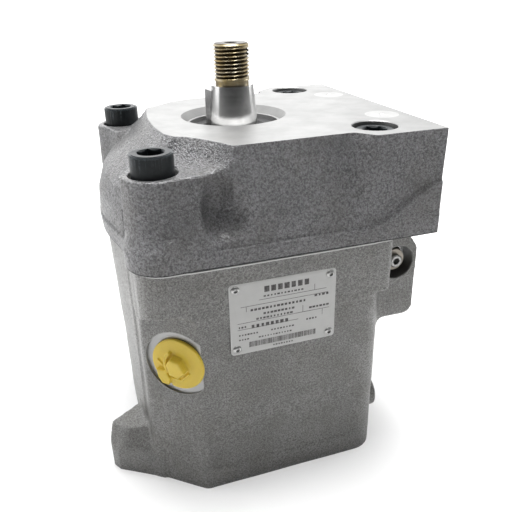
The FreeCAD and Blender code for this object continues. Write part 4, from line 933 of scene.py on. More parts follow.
def black_oxide(name):
    """Black oxide on steel: blue-black, slightly oily, brightened on edges by painted highlight and rubbing.
    """
    material, tree, shader = new_material(name)
    skin = group(tree, "Sand skin", {"Grain": 0.5})
    edges, grime = edge_sheen_and_grime(tree, 0.0006, 800.0, 140.0, 0.7)
    tone = tree.ramp(skin.outputs["Tone"], 0.35, 0.65)
    base = tree.mix(tone, (0.004, 0.006, 0.007, 1.0), (0.011, 0.015, 0.018, 1.0))
    base = tree.over(base, grime, 0.35, (0.045, 0.050, 0.050, 1.0))
    # Painted highlight with rubbing: edges lightened.
    base = tree.over(base, edges, 0.35, (0.16, 0.19, 0.21, 1.0))
    tree.set(shader, "Base Color", base)
    tree.set(shader, "Roughness", tree.plus(0.30, grime, 0.25))
    shader.inputs["Specular IOR Level"].default_value = 0.3
    bump(tree, shader, skin.outputs["Height"], 0.03)
    return material


def passivated_thread(name, colour):
    """Yellow passivated thread, with painted shade down in its grooves."""
    material, tree, shader = new_material(name)
    marks = group(tree, "Tool marks", {"Spacing": 0.4, "Rings": 1.0})
    place = tree.add("ShaderNodeTexCoord").outputs["Object"]
    crest = tree.ramp(tree.from_axis(place)[1], 8.95 * MM, 9.75 * MM)
    iris = tree.noise(place, 120.0, 3.0, 0.6)
    hue = tree.mix(tree.ramp(iris, 0.35, 0.65), shade(colour, 0.85), (0.46, 0.42, 0.33, 1.0))
    # Painted shade: near-black in the grooves, the hue only on the crests.
    tree.set(shader, "Base Color", tree.mix(crest, (0.030, 0.020, 0.010, 1.0), hue))
    tree.set(shader, "Roughness", tree.plus(0.22, marks.outputs["Tone"], 0.2))
    shader.inputs["Metallic"].default_value = 0.95
    bump(tree, shader, marks.outputs["Height"], 0.01)
    return material


def label_metal(name, colour):
    """Thin aluminium label with a satin, slightly brushed face."""
    material, tree, shader = new_material(name)
    marks = group(tree, "Tool marks", {"Spacing": 0.22, "Rings": 0.0, "Lean": 0.0})
    edges, grime = edge_sheen_and_grime(tree, 0.0004, 900.0, 85.0, 0.6)
    base = tree.mix(marks.outputs["Tone"], shade(colour, 0.88), shade(colour, 1.06))
    base = tree.over(base, grime, 0.35, shade(colour, 0.66))
    # Painted highlight with rubbing: edges brightened near white.
    base = tree.over(base, edges, 0.5, (0.9, 0.9, 0.9, 1.0))
    tree.set(shader, "Base Color", base)
    tree.set(shader, "Roughness", tree.plus(0.36, marks.outputs["Tone"], 0.14))
    shader.inputs["Metallic"].default_value = 0.35
    bump(tree, shader, marks.outputs["Height"], 0.008)
    return material


def printed_ink(name):
    """Dark ink, thin enough for the metal to grey it."""
    material, tree, shader = new_material(name)
    grime = group(tree, "Grime", {"Scale": 900.0, "Amount": 0.9}).outputs[0]
    tree.set(shader, "Base Color", tree.mix(grime, (0.055, 0.050, 0.050, 1.0),
                                            (0.20, 0.19, 0.19, 1.0)))
    tree.set(shader, "Roughness", tree.plus(0.45, grime, 0.2))
    return material


def floor_paper(name):
    """White sweep with a trace of tooth and painted light: it shines, for the camera only, more strongly away
    from the middle.
    """
    material, tree, shader = new_material(name)
    place = tree.add("ShaderNodeTexCoord").outputs["Object"]
    tooth = tree.noise(place, 900.0, 3.0, 0.6)
    tree.set(shader, "Base Color", tree.mix(tooth, (0.70, 0.70, 0.70, 1.0), (0.74, 0.74, 0.74, 1.0)))
    shader.inputs["Roughness"].default_value = 0.9
    shader.inputs["Specular IOR Level"].default_value = 0.1
    reach = tree.add("ShaderNodeVectorMath", {0: place}, operation="LENGTH").outputs["Value"]
    # Painted light: emission seen only by the camera, faint near the middle and stronger further out.
    painted_glow = tree.math("ADD", 0.28, tree.math("MULTIPLY", tree.ramp(reach, 0.22, 1.0), 0.60))
    seen = tree.add("ShaderNodeLightPath").outputs["Is Camera Ray"]
    shader.inputs["Emission Color"].default_value = (1.0, 1.0, 1.0, 1.0)
    tree.set(shader, "Emission Strength", tree.math("MULTIPLY", painted_glow, seen))
    return material


def studio_world(strength):
    """White surround: brightest above and behind, dim towards the front."""
    world = bpy.data.worlds.new("studio")
    world.use_nodes = True
    tree = Tree(world.node_tree)
    background = world.node_tree.nodes["Background"]
    way = tree.add("ShaderNodeTexCoord").outputs["Generated"]
    lean = tree.add("ShaderNodeVectorMath", {0: way, 1: (0.10, 0.75, 0.65)}, operation="DOT_PRODUCT")
    value = tree.ramp(lean.outputs["Value"], -0.75, 0.80)
    value = tree.math("ADD", 0.04, tree.math("MULTIPLY", tree.math("POWER", value, 2.2), 2.2))
    seen = tree.add("ShaderNodeLightPath").outputs["Is Camera Ray"]
    value = tree.math("MAXIMUM", tree.math("MULTIPLY", value, strength),
                      tree.math("MULTIPLY", seen, 1.2))
    background.inputs["Color"].default_value = (1.0, 1.0, 1.0, 1.0)
    tree.set(background, "Strength", value)
    return world


def slot_finishes():
    """A finish for each material slot of the record."""
    return {
        "gasket_dark": lambda: moulded("gasket_fibre", (0.035, 0.034, 0.032), 0.55, 0.8, 0.02),
        "screw_black": lambda: black_oxide("black_oxide_fine"),
        "steel_ground": lambda: machined_metal("ground_steel", (0.60, 0.60, 0.60), 0.22, 0.3, 1.0),
        "bearing_steel": lambda: machined_metal("bearing_steel", (0.66, 0.66, 0.67), 0.14, 0.25, 1.0, 0.003),
        "seal_rubber": lambda: moulded("seal_rubber", (0.020, 0.020, 0.021), 0.42, 0.7, 0.02, 0.1),
        "barrel_bronze": lambda: machined_metal("bronze", (0.62, 0.42, 0.20), 0.26, 0.3, 1.0),
        "barrel_steel": lambda: machined_metal("nitrided_steel", (0.42, 0.43, 0.44), 0.28, 0.35, 1.0),
        "spring_steel": lambda: machined_metal("spring_steel", (0.34, 0.34, 0.36), 0.30, 0.4, 0.0),
        "plate_silver": lambda: label_metal("label_aluminium", (0.54, 0.54, 0.53)),
        "rivet_metal": lambda: machined_metal("rivet_metal", (0.55, 0.55, 0.54), 0.30, 0.2, 0.0),
        "piston_steel": lambda: machined_metal("hard_steel", (0.58, 0.58, 0.59), 0.15, 0.22, 1.0, 0.003),
        "slipper_brass": lambda: machined_metal("slipper_brass", (0.72, 0.54, 0.24), 0.24, 0.3, 0.0),
        "casting_iron": lambda: cast_iron("casting_iron", (0.21, 0.207, 0.2), 1.0, 0.2, 0.3),
        "plug_yellow": lambda: moulded("plug_plastic", (0.80, 0.55, 0.045), 0.38, 1.5, 0.02),
    }


MATERIALS = {}


def finish(slot):
    """The finish of a slot, made the first time it is asked for."""
    if slot not in MATERIALS:
        MATERIALS[slot] = slot_finishes()[slot]()
    return MATERIALS[slot]


# ---------------------------------------------------------------- geometry node trees

def grown(tree, base, **values):
    """Plain mesh that a geometry tree grows on a base mesh."""
    host = bpy.data.objects.new("host", base)
    bpy.context.scene.collection.objects.link(host)
    modifier = host.modifiers.new("grow", "NODES")
    modifier.node_group = tree
    for item in tree.interface.items_tree:
        if item.in_out == "INPUT" and item.name in values:
            modifier[item.identifier] = values[item.name]
    mesh = evaluated_mesh(host)
    host.modifiers.remove(modifier)
    bpy.data.objects.remove(host)
    return mesh


def geometry_group(name, inputs):
    """Geometry tree with a base geometry, named inputs and a material."""
    sockets = [("Geometry", "NodeSocketGeometry", None)] + inputs
    sockets.append(("Finish", "NodeSocketMaterial", None))
    return new_group(name, "GeometryNodeTree", sockets, [("Geometry", "NodeSocketGeometry")])


def finish_group(tree, start, end, instances):
    """Ends a geometry tree: plain mesh with its material."""
    real = tree.add("GeometryNodeRealizeInstances", {0: instances})
    painted = tree.add("GeometryNodeSetMaterial", {"Geometry": real.outputs[0],
                                                   "Material": start.outputs["Finish"]})
    tree.set(end, "Geometry", painted.outputs[0])
    return tree.tree


def cylinder(tree, sides, radius, depth, centre_z):
    """Cylinder in a geometry tree, its middle at a height."""
    bar = tree.add("GeometryNodeMeshCylinder", {"Vertices": sides, "Radius": radius, "Depth": depth})
    lift = tree.add("ShaderNodeCombineXYZ", {"Z": centre_z})
    moved = tree.add("GeometryNodeTransform", {"Geometry": bar.outputs[0],
                                               "Translation": lift.outputs[0]})
    return moved.outputs[0]


def boolean(tree, operation, first, *others):
    """Boolean in a geometry tree."""
    node = tree.add("GeometryNodeMeshBoolean", operation=operation)
    if operation == "DIFFERENCE":
        tree.set(node, "Mesh 1", first)
    else:
        tree.tree.links.new(first, node.inputs["Mesh 2"])
    for other in others:
        tree.tree.links.new(other, node.inputs["Mesh 2"])
    return node.outputs[0]


def socket_screw_tree():
    """Socket head screws, one on each point, each turned at random."""
    tree, start, end = geometry_group("Socket head screws", [
        ("Head radius", FLOAT, 0.0105), ("Head height", FLOAT, 0.014), ("Edge", FLOAT, 0.0011),
        ("Socket", FLOAT, 0.012), ("Socket depth", FLOAT, 0.008), ("Shank radius", FLOAT, 0.007),
        ("Length", FLOAT, 0.060), ("Seed", "NodeSocketInt", 5),
    ])
    get = start.outputs
    wall = tree.math("SUBTRACT", get["Head height"], get["Edge"])
    head = cylinder(tree, 96, get["Head radius"], wall, tree.math("MULTIPLY", wall, 0.5))
    crown_r = tree.math("SUBTRACT", get["Head radius"], get["Edge"])
    crown = cylinder(tree, 96, crown_r, get["Head height"], tree.math("MULTIPLY", get["Head height"], 0.5))
    parts = [head, crown]
    for share in (0.30, 0.58, 0.82):
        drop = 1.0 - math.sqrt(1.0 - (1.0 - share) ** 2)
        radius = tree.math("SUBTRACT", get["Head radius"], tree.math("MULTIPLY", get["Edge"], drop))
        height = tree.math("ADD", wall, tree.math("MULTIPLY", get["Edge"], 1.0 - share))
        parts.append(cylinder(tree, 96, radius, height, tree.math("MULTIPLY", height, 0.5)))
    shank = cylinder(tree, 48, get["Shank radius"], get["Length"], tree.math("MULTIPLY", get["Length"], -0.5))
    body = boolean(tree, "UNION", *parts, shank)
    corner = tree.math("MULTIPLY", get["Socket"], 1.0 / math.sqrt(3.0))
    deep = tree.math("MULTIPLY", get["Socket depth"], 2.0)
    hollow = cylinder(tree, 6, corner, deep, get["Head height"])
    lead = tree.add("GeometryNodeMeshCone", {
        "Vertices": 48, "Radius Top": tree.math("MULTIPLY", corner, 1.02),
        "Radius Bottom": tree.math("MULTIPLY", corner, 0.80), "Depth": 0.0016})
    lead_at = tree.add("ShaderNodeCombineXYZ", {"Z": tree.math("SUBTRACT", get["Head height"], 0.0013)})
    lead = tree.add("GeometryNodeTransform", {
        "Geometry": lead.outputs[0], "Translation": lead_at.outputs[0]})
    body = boolean(tree, "DIFFERENCE", body, hollow, lead.outputs[0])
    turns = tree.add("FunctionNodeRandomValue", {2: 0.0, 3: 1.2, "Seed": get["Seed"]}, data_type="FLOAT")
    spin = tree.add("ShaderNodeCombineXYZ", {"Z": turns.outputs[1]})
    placed = tree.add("GeometryNodeInstanceOnPoints", {
        "Points": get["Geometry"], "Instance": body, "Rotation": spin.outputs[0]})
    return finish_group(tree, start, end, placed.outputs[0])


def drive_rivet_tree():
    """Domed rivet heads with a hollow centre, one on each point, facing -Y."""
    tree, start, end = geometry_group("Drive rivets", [
        ("Head radius", FLOAT, 0.0024), ("Head height", FLOAT, 0.001), ("Hollow", FLOAT, 0.0011),
        ("Shank radius", FLOAT, 0.0015), ("Length", FLOAT, 0.006),
    ])
    get = start.outputs
    ball = tree.add("GeometryNodeMeshUVSphere", {"Segments": 32, "Rings": 16, "Radius": get["Head radius"]})
    share = tree.math("DIVIDE", get["Head height"], get["Head radius"])
    squash = tree.add("ShaderNodeCombineXYZ", {"X": 1.0, "Y": 1.0, "Z": share})
    dome = tree.add("GeometryNodeTransform", {"Geometry": ball.outputs[0], "Scale": squash.outputs[0]})
    below = cylinder(tree, 32, tree.math("MULTIPLY", get["Head radius"], 2.0), 0.004, -0.002)
    dome = boolean(tree, "DIFFERENCE", dome.outputs[0], below)
    shank = cylinder(tree, 24, get["Shank radius"], get["Length"], tree.math("MULTIPLY", get["Length"], -0.49))
    body = boolean(tree, "UNION", dome, shank)
    hollow = cylinder(tree, 24, get["Hollow"], 0.0024, 0.0010)
    body = boolean(tree, "DIFFERENCE", body, hollow)
    placed = tree.add("GeometryNodeInstanceOnPoints", {
        "Points": get["Geometry"], "Instance": body, "Rotation": (math.pi / 2.0, 0.0, 0.0)})
    return finish_group(tree, start, end, placed.outputs[0])


def stroke_tree():
    """A row of flat strokes of random width along X, starting on each point."""
    tree, start, end = geometry_group("Printed strokes", [
        ("Pitch", FLOAT, 0.001), ("Height", FLOAT, 0.001), ("Thickness", FLOAT, 0.00006),
        ("Thinnest", FLOAT, 0.3), ("Widest", FLOAT, 0.9),
        ("Count", "NodeSocketInt", 10), ("Seed", "NodeSocketInt", 5),
    ])
    get = start.outputs
    step = tree.add("ShaderNodeCombineXYZ", {"X": get["Pitch"]})
    line = tree.add("GeometryNodeMeshLine", {"Count": get["Count"], "Offset": step.outputs[0]})
    size = tree.add("ShaderNodeCombineXYZ", {"X": get["Pitch"], "Y": get["Thickness"], "Z": get["Height"]})
    stroke = tree.add("GeometryNodeMeshCube", {"Size": size.outputs[0]})
    widths = tree.add("FunctionNodeRandomValue", {
        2: get["Thinnest"], 3: get["Widest"], "Seed": get["Seed"]}, data_type="FLOAT")
    scale = tree.add("ShaderNodeCombineXYZ", {"X": widths.outputs[1], "Y": 1.0, "Z": 1.0})
    row = tree.add("GeometryNodeInstanceOnPoints", {
        "Points": line.outputs[0], "Instance": stroke.outputs[0], "Scale": scale.outputs[0]})
    rows = tree.add("GeometryNodeInstanceOnPoints", {"Points": get["Geometry"], "Instance": row.outputs[0]})
    return finish_group(tree, start, end, rows.outputs[0])


def points_mesh(places):
    """Loose points, given in millimetres."""
    mesh = bpy.data.meshes.new("points")
    mesh.from_pydata([(x * MM, y * MM, z * MM) for x, y, z in places], [], [])
    return mesh


# ---------------------------------------------------------------- castings

CLEAR = 120.0                        # reach of the cuts that clear a casting's outside


def rivet_places():
    """Centres of the label's rivets."""
    return [(x, z) for x in (RIVETS_LOW[0] + RIVET_INSET, RIVETS_HIGH[0] - RIVET_INSET)
            for z in (RIVETS_LOW[2] + RIVET_INSET, RIVETS_HIGH[2] - RIVET_INSET)]


def rivet_bores(start, end):
    """Holes for the label's rivets between two distances in front of the shaft axis."""
    return [bored(RIVET_SHANK_R, start, end, (x, 0.0, z), (0.0, -1.0, 0.0), 32)
            for x, z in rivet_places()]


def pot_core():
    """Inside of the lower casing: cavity, arm pockets and cylinder bores, less the seats in it."""
    arm = 11.0
    core = drilled(CAVITY_LOW_R, FLOOR_Z, PIVOT_Z + 18.0, steps=128)
    core = combined(core, [
        drilled(CAVITY_R, PIVOT_Z + 17.0, JOINT_Z + 2.0, steps=128),
        block((-CONTROL_X - 8.5, -arm, PIVOT_Z - 28.0), (0.0, arm, PIVOT_Z + 26.0)),
        block((0.0, -arm, PIVOT_Z - 39.0), (CONTROL_X + 6.5, arm, PIVOT_Z + 4.0)),
        drilled(9.5, PIVOT_Z + 25.0, JOINT_Z + 2.0, -CONTROL_X),
        drilled(8.05, PIVOT_Z + 3.0, JOINT_Z - 5.2, CONTROL_X),
    ], "UNION")
    seats = [drilled(30.0, FLOOR_Z - 1.0, 25.7)]
    for side in (-1.0, 1.0):
        near, far = sorted((side * 31.0, side * 44.5))
        seat = block((-28.0, near, FLOOR_Z - 1.0), (28.0, far, PIVOT_Z))
        hollow = bored(42.55, near - 1.0, far + 1.0, (0.0, 0.0, PIVOT_Z), (0.0, 1.0, 0.0), 128)
        seats.append(combined(seat, [hollow]))
    return combined(core, seats)


def pot_cutters():
    """Machining of the lower casing."""
    tools = [
        block((-CLEAR, -CLEAR, JOINT_Z), (CLEAR, CLEAR, JOINT_Z + 20.0)),
        block((-CLEAR, -CLEAR, -20.0), (CLEAR, CLEAR, 0.0)),
        pot_core(),
        drilled(26.0, 9.5, 27.0),
        drilled(15.0, 6.0, 10.0),
    ]
    valve = (VALVE_X, 0.0, VALVE_Z)
    mouth_y = -BOX_FRONT_Y
    tools += [
        bored(10.2, mouth_y - 10.0, mouth_y, valve, (0.0, -1.0, 0.0), bevel=0.5),
        bored(9.0, 6.0, mouth_y - 9.0, valve, (0.0, -1.0, 0.0)),
        bored(5.05, -DEPTH + 30.5, 12.0, valve, (0.0, -1.0, 0.0)),
        bored(9.0, DEPTH - 31.5, DEPTH, valve, (0.0, 1.0, 0.0), bevel=0.6),
        block((VALVE_X - 13.0, DEPTH, VALVE_Z - 30.0), (VALVE_X + 14.0, DEPTH + 8.0, VALVE_Z + 25.0)),
    ]
    for x, y in SCREWS_AT:
        tools.append(drilled(SCREW_R + 0.05, JOINT_Z - 21.0, JOINT_Z + 2.0, x, y))
    for x, y in DOWELS_AT:
        tools.append(drilled(4.0, JOINT_Z - 8.5, JOINT_Z + 2.0, x, y))
    face = DRAIN_AT - DRAIN_AXIS * DRAIN_FACE_DEPTH
    tools.append(bored(DRAIN_FACE_R, 0.0, 16.0, face, DRAIN_AXIS, 96))
    tools.append(bored(10.0, -40.0, 1.0, face, DRAIN_AXIS))
    return tools + rivet_bores(DEPTH - 6.0, DEPTH + 3.0)


def block_cutters():
    """Machining of the port block."""
    recess = [
        (0.0, TOP_Z + 2.0), (RECESS_R + 2.0, TOP_Z + 2.0), (RECESS_R + 0.3, TOP_Z), (RECESS_R, TOP_Z - 0.4),
        (SEAL_R + 1.2, TOP_Z - RECESS_DEPTH + 0.2), (SEAL_R + 0.6, TOP_Z - RECESS_DEPTH),
        (0.0, TOP_Z - RECESS_DEPTH),
    ]
    tools = [
        block((-CLEAR, -CLEAR, TOP_Z), (CLEAR, CLEAR, TOP_Z + 20.0)),
        block((-CLEAR, -CLEAR, FOOT_Z - 20.0), (CLEAR, CLEAR, FOOT_Z)),
        block((PORT_FACE_X, -CLEAR, 0.0), (CLEAR + 10.0, CLEAR, 230.0)),
        turned(recess, steps=128),
        drilled(SEAL_R, SEAL_Z, TOP_Z - 1.0, steps=128),
        drilled(20.0, 179.0, SEAL_Z + 1.0, steps=96),
        drilled(27.5, FOOT_Z - 1.0, 180.0, steps=96),
        kidney(36.0, 9.0, 62.0, 90.0, FOOT_Z - 1.0, PORT_Z - 6.0),
        kidney(36.0, 9.0, 62.0, -90.0, FOOT_Z - 1.0, PORT_Z - 6.0),
    ]
    along_x = (1.0, 0.0, 0.0)
    for side, radius, pitch_y, pitch_z in ((1.0, SUCTION_R, 58.7, 30.2), (-1.0, PRESSURE_R, 52.4, 26.2)):
        centre = (0.0, side * PORT_Y, PORT_Z)
        tools.append(bored(radius, 24.0, PORT_FACE_X, centre, along_x, 96, bevel=0.8))
        for dy in (-pitch_y / 2.0, pitch_y / 2.0):
            for dz in (-pitch_z / 2.0, pitch_z / 2.0):
                spot = (0.0, side * PORT_Y + dy, PORT_Z + dz)
                tools.append(bored(4.25, PORT_FACE_X - 18.0, PORT_FACE_X, spot, along_x, 40, bevel=0.9))
    for x, y in GALLERY_AT:
        tools.append(drilled(9.5, TOP_Z - 9.0, TOP_Z + 2.0, x, y))
        tools.append(drilled(7.5, PORT_Z, TOP_Z - 8.0, x, y, 48))
    for x, y in SCREWS_AT:
        tools.append(drilled(7.5, FOOT_Z - 1.0, SEAT_Z + 1.0, x, y, 48))
        rim = EAR_Z if x < 0.0 else TOP_Z
        tools.append(bored(12.0, SEAT_Z, rim, (x, y, 0.0), (0.0, 0.0, 1.0), 96, bevel=0.5))
        tools.append(drilled(13.0, rim + 1.0, rim + 14.0, x, y, 96))
    for x, y in DOWELS_AT:
        tools.append(drilled(4.0, FOOT_Z - 1.0, FOOT_Z + 8.5, x, y, 48))
    tools.append(drilled(2.0, FOOT_Z - 1.0, FOOT_Z + 5.0, 45.5, 0.0, 32))
    return tools


class PUMP_OT_lower_casing(bpy.types.Operator):
    """Lower casing: cast skin, machined faces and bores"""
    bl_idname = "pump.lower_casing"
    bl_label = "Lower Casing"

    def execute(self, context):
        sizes = context.scene.pump_castings
        colours = context.scene.pump_finishes

        def field(x, y, z):
            return pot_field(x, y, z, sizes.fillet)

        low = (POT_LOW[0] - 4.0, -DEPTH - 4.0, -3.0)
        high = (BOX_RIGHT_X + 4.0, DEPTH + 4.0, JOINT_Z + 3.0)
        mesh = skin_mesh("skin", field, low, high, sizes.pitch)
        mesh = combined(mesh, pot_cutters())
        split_skin(mesh, field)
        smooth_shaded(mesh)
        # Painted highlight: a pale line along the top edge of the lower casing.
        painted_edge_highlight = (JOINT_Z - 0.8, JOINT_Z + 0.2, (0.62, 0.62, 0.61, 1.0))
        skin = cast_iron("cast_iron_fine", colours.pot, 0.60, 0.34, 0.4, painted_edge_highlight)
        face = machined_metal("machined_iron", shade(colours.machined, 0.62), 0.40)
        add_piece("lower_casing", mesh, [skin, face], "root", ["housing"])
        return {"FINISHED"}


class PUMP_OT_port_block(bpy.types.Operator):
    """Port block: coarse cast skin, machined top, ports, recess and screw seats"""
    bl_idname = "pump.port_block"
    bl_label = "Port Block"

    def execute(self, context):
        sizes = context.scene.pump_castings
        colours = context.scene.pump_finishes

        def field(x, y, z):
            return block_field(x, y, z, sizes.fillet, sizes.band)

        low = (-88.0, -DEPTH - 4.0, FOOT_Z - 3.0)
        high = (PORT_FACE_X + 3.0, DEPTH + 4.0, TOP_Z + 2.5)
        mesh = skin_mesh("skin", field, low, high, sizes.pitch)
        mesh = combined(mesh, block_cutters())
        split_skin(mesh, field, flat_z=TOP_Z)
        smooth_shaded(mesh)
        # Painted shade: a near-black line along the foot of the port block, in the gap at the joint.
        painted_gap_shade = (FOOT_Z - 0.2, FOOT_Z + 0.7, (0.02, 0.02, 0.02, 1.0))
        skin = cast_iron("cast_iron_coarse", colours.block, 0.85, 0.9, 0.5, painted_gap_shade)
        face = machined_metal("machined_top", shade(colours.machined, 0.64), 0.46, 0.6)
        add_piece("port_block_casting", mesh, [skin, face], "root", ["port_block"])
        return {"FINISHED"}


# ---------------------------------------------------------------- fasteners

class PUMP_OT_screws(bpy.types.Operator):
    """Four socket head screws"""
    bl_idname = "pump.screws"
    bl_label = "Casing Screws"

    def execute(self, context):
        sizes = context.scene.pump_fasteners
        black = black_oxide("black_oxide")
        seats = points_mesh([(x, y, SEAT_Z) for x, y in SCREWS_AT])
        mesh = grown(socket_screw_tree(), seats, **{
            "Head radius": HEAD_R * MM, "Head height": HEAD_H * MM, "Socket": sizes.socket * MM,
            "Shank radius": SCREW_R * MM, "Length": (SEAT_Z - SCREWS_LOW[2]) * MM,
            "Seed": sizes.seed, "Finish": black,
        })
        add_piece("casing_screws", smooth_shaded(mesh, 25.0), [black], "root",
                  ["cover_screws"])
        return {"FINISHED"}


# ---------------------------------------------------------------- shaft

def thread_wave(height, turn):
    """Groove depth share of a helical thread at heights and turns, 0 on the crest."""
    phase = np.mod(height / THREAD_PITCH - turn / (2.0 * math.pi), 1.0)
    groove = 1.0 - np.abs(2.0 * phase - 1.0)
    return np.clip(1.25 * groove - 0.12, 0.0, 1.0)


def shaft_radius(height, turn):
    """Radius of the shaft at a height and a turn: spline, thread and plain lengths."""
    radius = np.interp(height, SHAFT_STATIONS, SHAFT_RADII)
    on_spline = (height > 47.0) & (height < 98.45)
    tooth = np.clip(0.5 + 1.9 * np.cos(14.0 * turn), 0.0, 1.0)
    radius = np.where(on_spline, 13.2 + 1.8 * tooth, radius)
    fade = smooth_step((height - 220.6) / 1.6) * smooth_step((239.2 - height) / 1.4)
    return radius - np.where(height > 220.0, 1.15 * fade * thread_wave(height, turn), 0.0)


SHAFT_END = 240.1
THREAD_PITCH = 2.0
CROSS_HOLE_Z = 235.0
CROSS_HOLE_TURN = math.radians(-32.0)
KEY_TURN = math.radians(162.0)
KEY_R = 11.0                         # radius of the key's disc
SHAFT_STATIONS = (8.5, 9.5, 25.7, 25.71, 98.45, 98.46, 141.0, 141.01, 163.0, 163.01, 187.0, 217.9,
                  217.91, 220.4, 220.41, 239.0, SHAFT_END)
SHAFT_RADII = (11.5, 12.5, 12.5, 13.0, 13.0, 14.6, 14.6, 17.0, 17.0, 15.0, 15.0, 11.91,
               9.4, 9.4, 10.0, 10.0, 8.9)


def shaft_mesh():
    """Shaft as one skin of rings whose radius changes round and along it."""
    steps = 168
    heights = sorted(set(SHAFT_STATIONS) | set(np.round(np.arange(220.5, 239.4, 0.2), 3))
                     | {46.99, 47.01, 98.44, 200.0, 206.0})
    turns = np.linspace(0.0, 2.0 * math.pi, steps, endpoint=False)
    shape = bmesh.new()
    rings = []
    for height in heights:
        radii = shaft_radius(np.full(steps, height), turns)
        rings.append([shape.verts.new((r * math.cos(t) * MM, r * math.sin(t) * MM, height * MM))
                      for r, t in zip(radii, turns)])
    for a, b in zip(rings, rings[1:]):
        for k in range(steps):
            n = (k + 1) % steps
            shape.faces.new((a[k], a[n], b[n], b[k]))
    shape.faces.new(rings[0][::-1])
    shape.faces.new(rings[-1])
    mesh = bpy.data.meshes.new("shaft")
    shape.to_mesh(mesh)
    shape.free()
    centre = [(0.0, SHAFT_END - 9.0), (1.2, SHAFT_END - 9.0), (1.2, 235.2), (3.6, SHAFT_END),
              (3.6, 242.0), (0.0, 242.0)]
    cross = (math.cos(CROSS_HOLE_TURN), math.sin(CROSS_HOLE_TURN), 0.0)
    key_axis = (-math.sin(KEY_TURN), math.cos(KEY_TURN), 0.0)
    key_out = Vector((math.cos(KEY_TURN), math.sin(KEY_TURN), 0.0))
    key_low, key_high = cad_box("shaft_key")
    key_middle = (key_low[2] + key_high[2]) / 2.0
    taper_r = float(np.interp(205.2, SHAFT_STATIONS, SHAFT_RADII))
    seat = key_out * (taper_r + 2.4 - 9.0 + KEY_R)
    seat.z = key_middle
    return combined(mesh, [
        bored(2.0, -20.0, 20.0, (0.0, 0.0, CROSS_HOLE_Z), cross, 40),
        turned(centre, steps=48),
        bored(KEY_R + 0.02, -3.02, 3.02, seat, key_axis, 96),
    ])


class PUMP_OT_shaft(bpy.types.Operator):
    """Drive shaft with its spline, taper, keyway and helical thread"""
    bl_idname = "pump.shaft"
    bl_label = "Drive Shaft"

    def execute(self, context):
        mesh = shaft_mesh()
        smooth_shaded(mesh, 40.0)
        heights = np.array([p.center.z for p in mesh.polygons]) / MM
        mesh.polygons.foreach_set("material_index", (heights > 218.0).astype(np.int32))
        steel = machined_metal("shaft_steel", (0.58, 0.58, 0.575), 0.15, 0.35, 1.0, 0.004)
        gold = passivated_thread("thread_gold", context.scene.pump_finishes.thread)
        add_piece("drive_shaft_turned", mesh, [steel, gold], "shaft", ["drive_shaft"])
        return {"FINISHED"}


# ---------------------------------------------------------------- transport plug

def plug_field(u, v, w):
    """Transport plug in its own place: u to the right, v up, w outwards from its seat."""
    round_r = np.sqrt(u * u + v * v)
    dish = 0.5 * smooth_step((round_r - 7.0) / 8.0)
    flange = common(round_r - 15.35, between(w, 0.0, 2.6 - dish), 0.7)
    notch = np.sqrt((u + 5.6) ** 2 + (v + 14.4) ** 2) - 1.3
    flange = common(flange, -notch, 0.4)
    knob = outline_field(PLUG_KNOB, u, v) + 0.05 * np.clip(w - 2.0, 0.0, 6.0)
    knob = common(knob, between(w, 1.0, 6.9 + 0.06 * v), 0.9)
    body = joined(flange, knob, 0.7)
    for points, width, top in PLUG_RIBS:
        rib = np.full(np.broadcast(u, v).shape, 1e9)
        for (ax, ay), (bx, by) in zip(points, points[1:]):
            ex, ey = bx - ax, by - ay
            t = np.clip(((u - ax) * ex + (v - ay) * ey) / (ex * ex + ey * ey), 0.0, 1.0)
            rib = np.minimum(rib, np.sqrt((u - ax - t * ex) ** 2 + (v - ay - t * ey) ** 2))
        body = joined(body, common(rib - width / 2.0, between(w, 1.0, top), 0.6), 0.6)
    gate = outline_field(PLUG_GATE, u, v)
    body = joined(body, common(gate, between(w, 1.0, 4.9), 0.7), 0.5)
    shank = np.maximum(round_r - 9.93, -w - 11.0)
    shank = np.maximum(shank, w - 1.0)
    body = joined(body, shank, 0.4)
    hollow = np.maximum(round_r - 7.6, w + 0.4)
    return common(body, -hollow, 0.3)


PLUG_KNOB = [(-4.7, 2.2), (-1.6, 6.0), (3.6, 5.0), (6.6, -1.4), (2.2, -6.2), (-3.2, -4.9)]
PLUG_RIBS = (
    ([(-3.6, 7.4), (-6.0, 4.2), (-6.7, 0.2), (-5.4, -4.0)], 1.7, 4.6),
    ([(-2.6, -8.6), (2.4, -8.8), (6.8, -4.0)], 1.2, 3.5),
    ([(-11.3, 1.2), (-8.6, -1.4)], 1.2, 3.3),
)
PLUG_GATE = [(-11.8, -3.6), (-6.4, -3.4), (-4.0, -8.0), (-4.8, -12.6), (-9.0, -12.2), (-11.2, -8.4)]


class PUMP_OT_transport_plug(bpy.types.Operator):
    """Soft plastic plug in the drain port"""
    bl_idname = "pump.transport_plug"
    bl_label = "Transport Plug"

    def execute(self, context):
        mesh = skin_mesh("plug", plug_field, (-16.5, -16.5, -12.5), (16.5, 16.5, 8.5), 0.36)
        seat = DRAIN_AT - DRAIN_AXIS * DRAIN_FACE_DEPTH
        place = frame_at(seat * MM, DRAIN_AXIS)
        mesh.transform(place)
        mesh.shade_smooth()
        colour = context.scene.pump_finishes.plug
        plastic = moulded("plug_plastic_worn", colour, 0.34, 1.8, 0.03, 0.0, 0.12)
        add_piece("transport_plug", mesh, [plastic], "root", ["drain_plug"])
        return {"FINISHED"}


# ---------------------------------------------------------------- nameplate

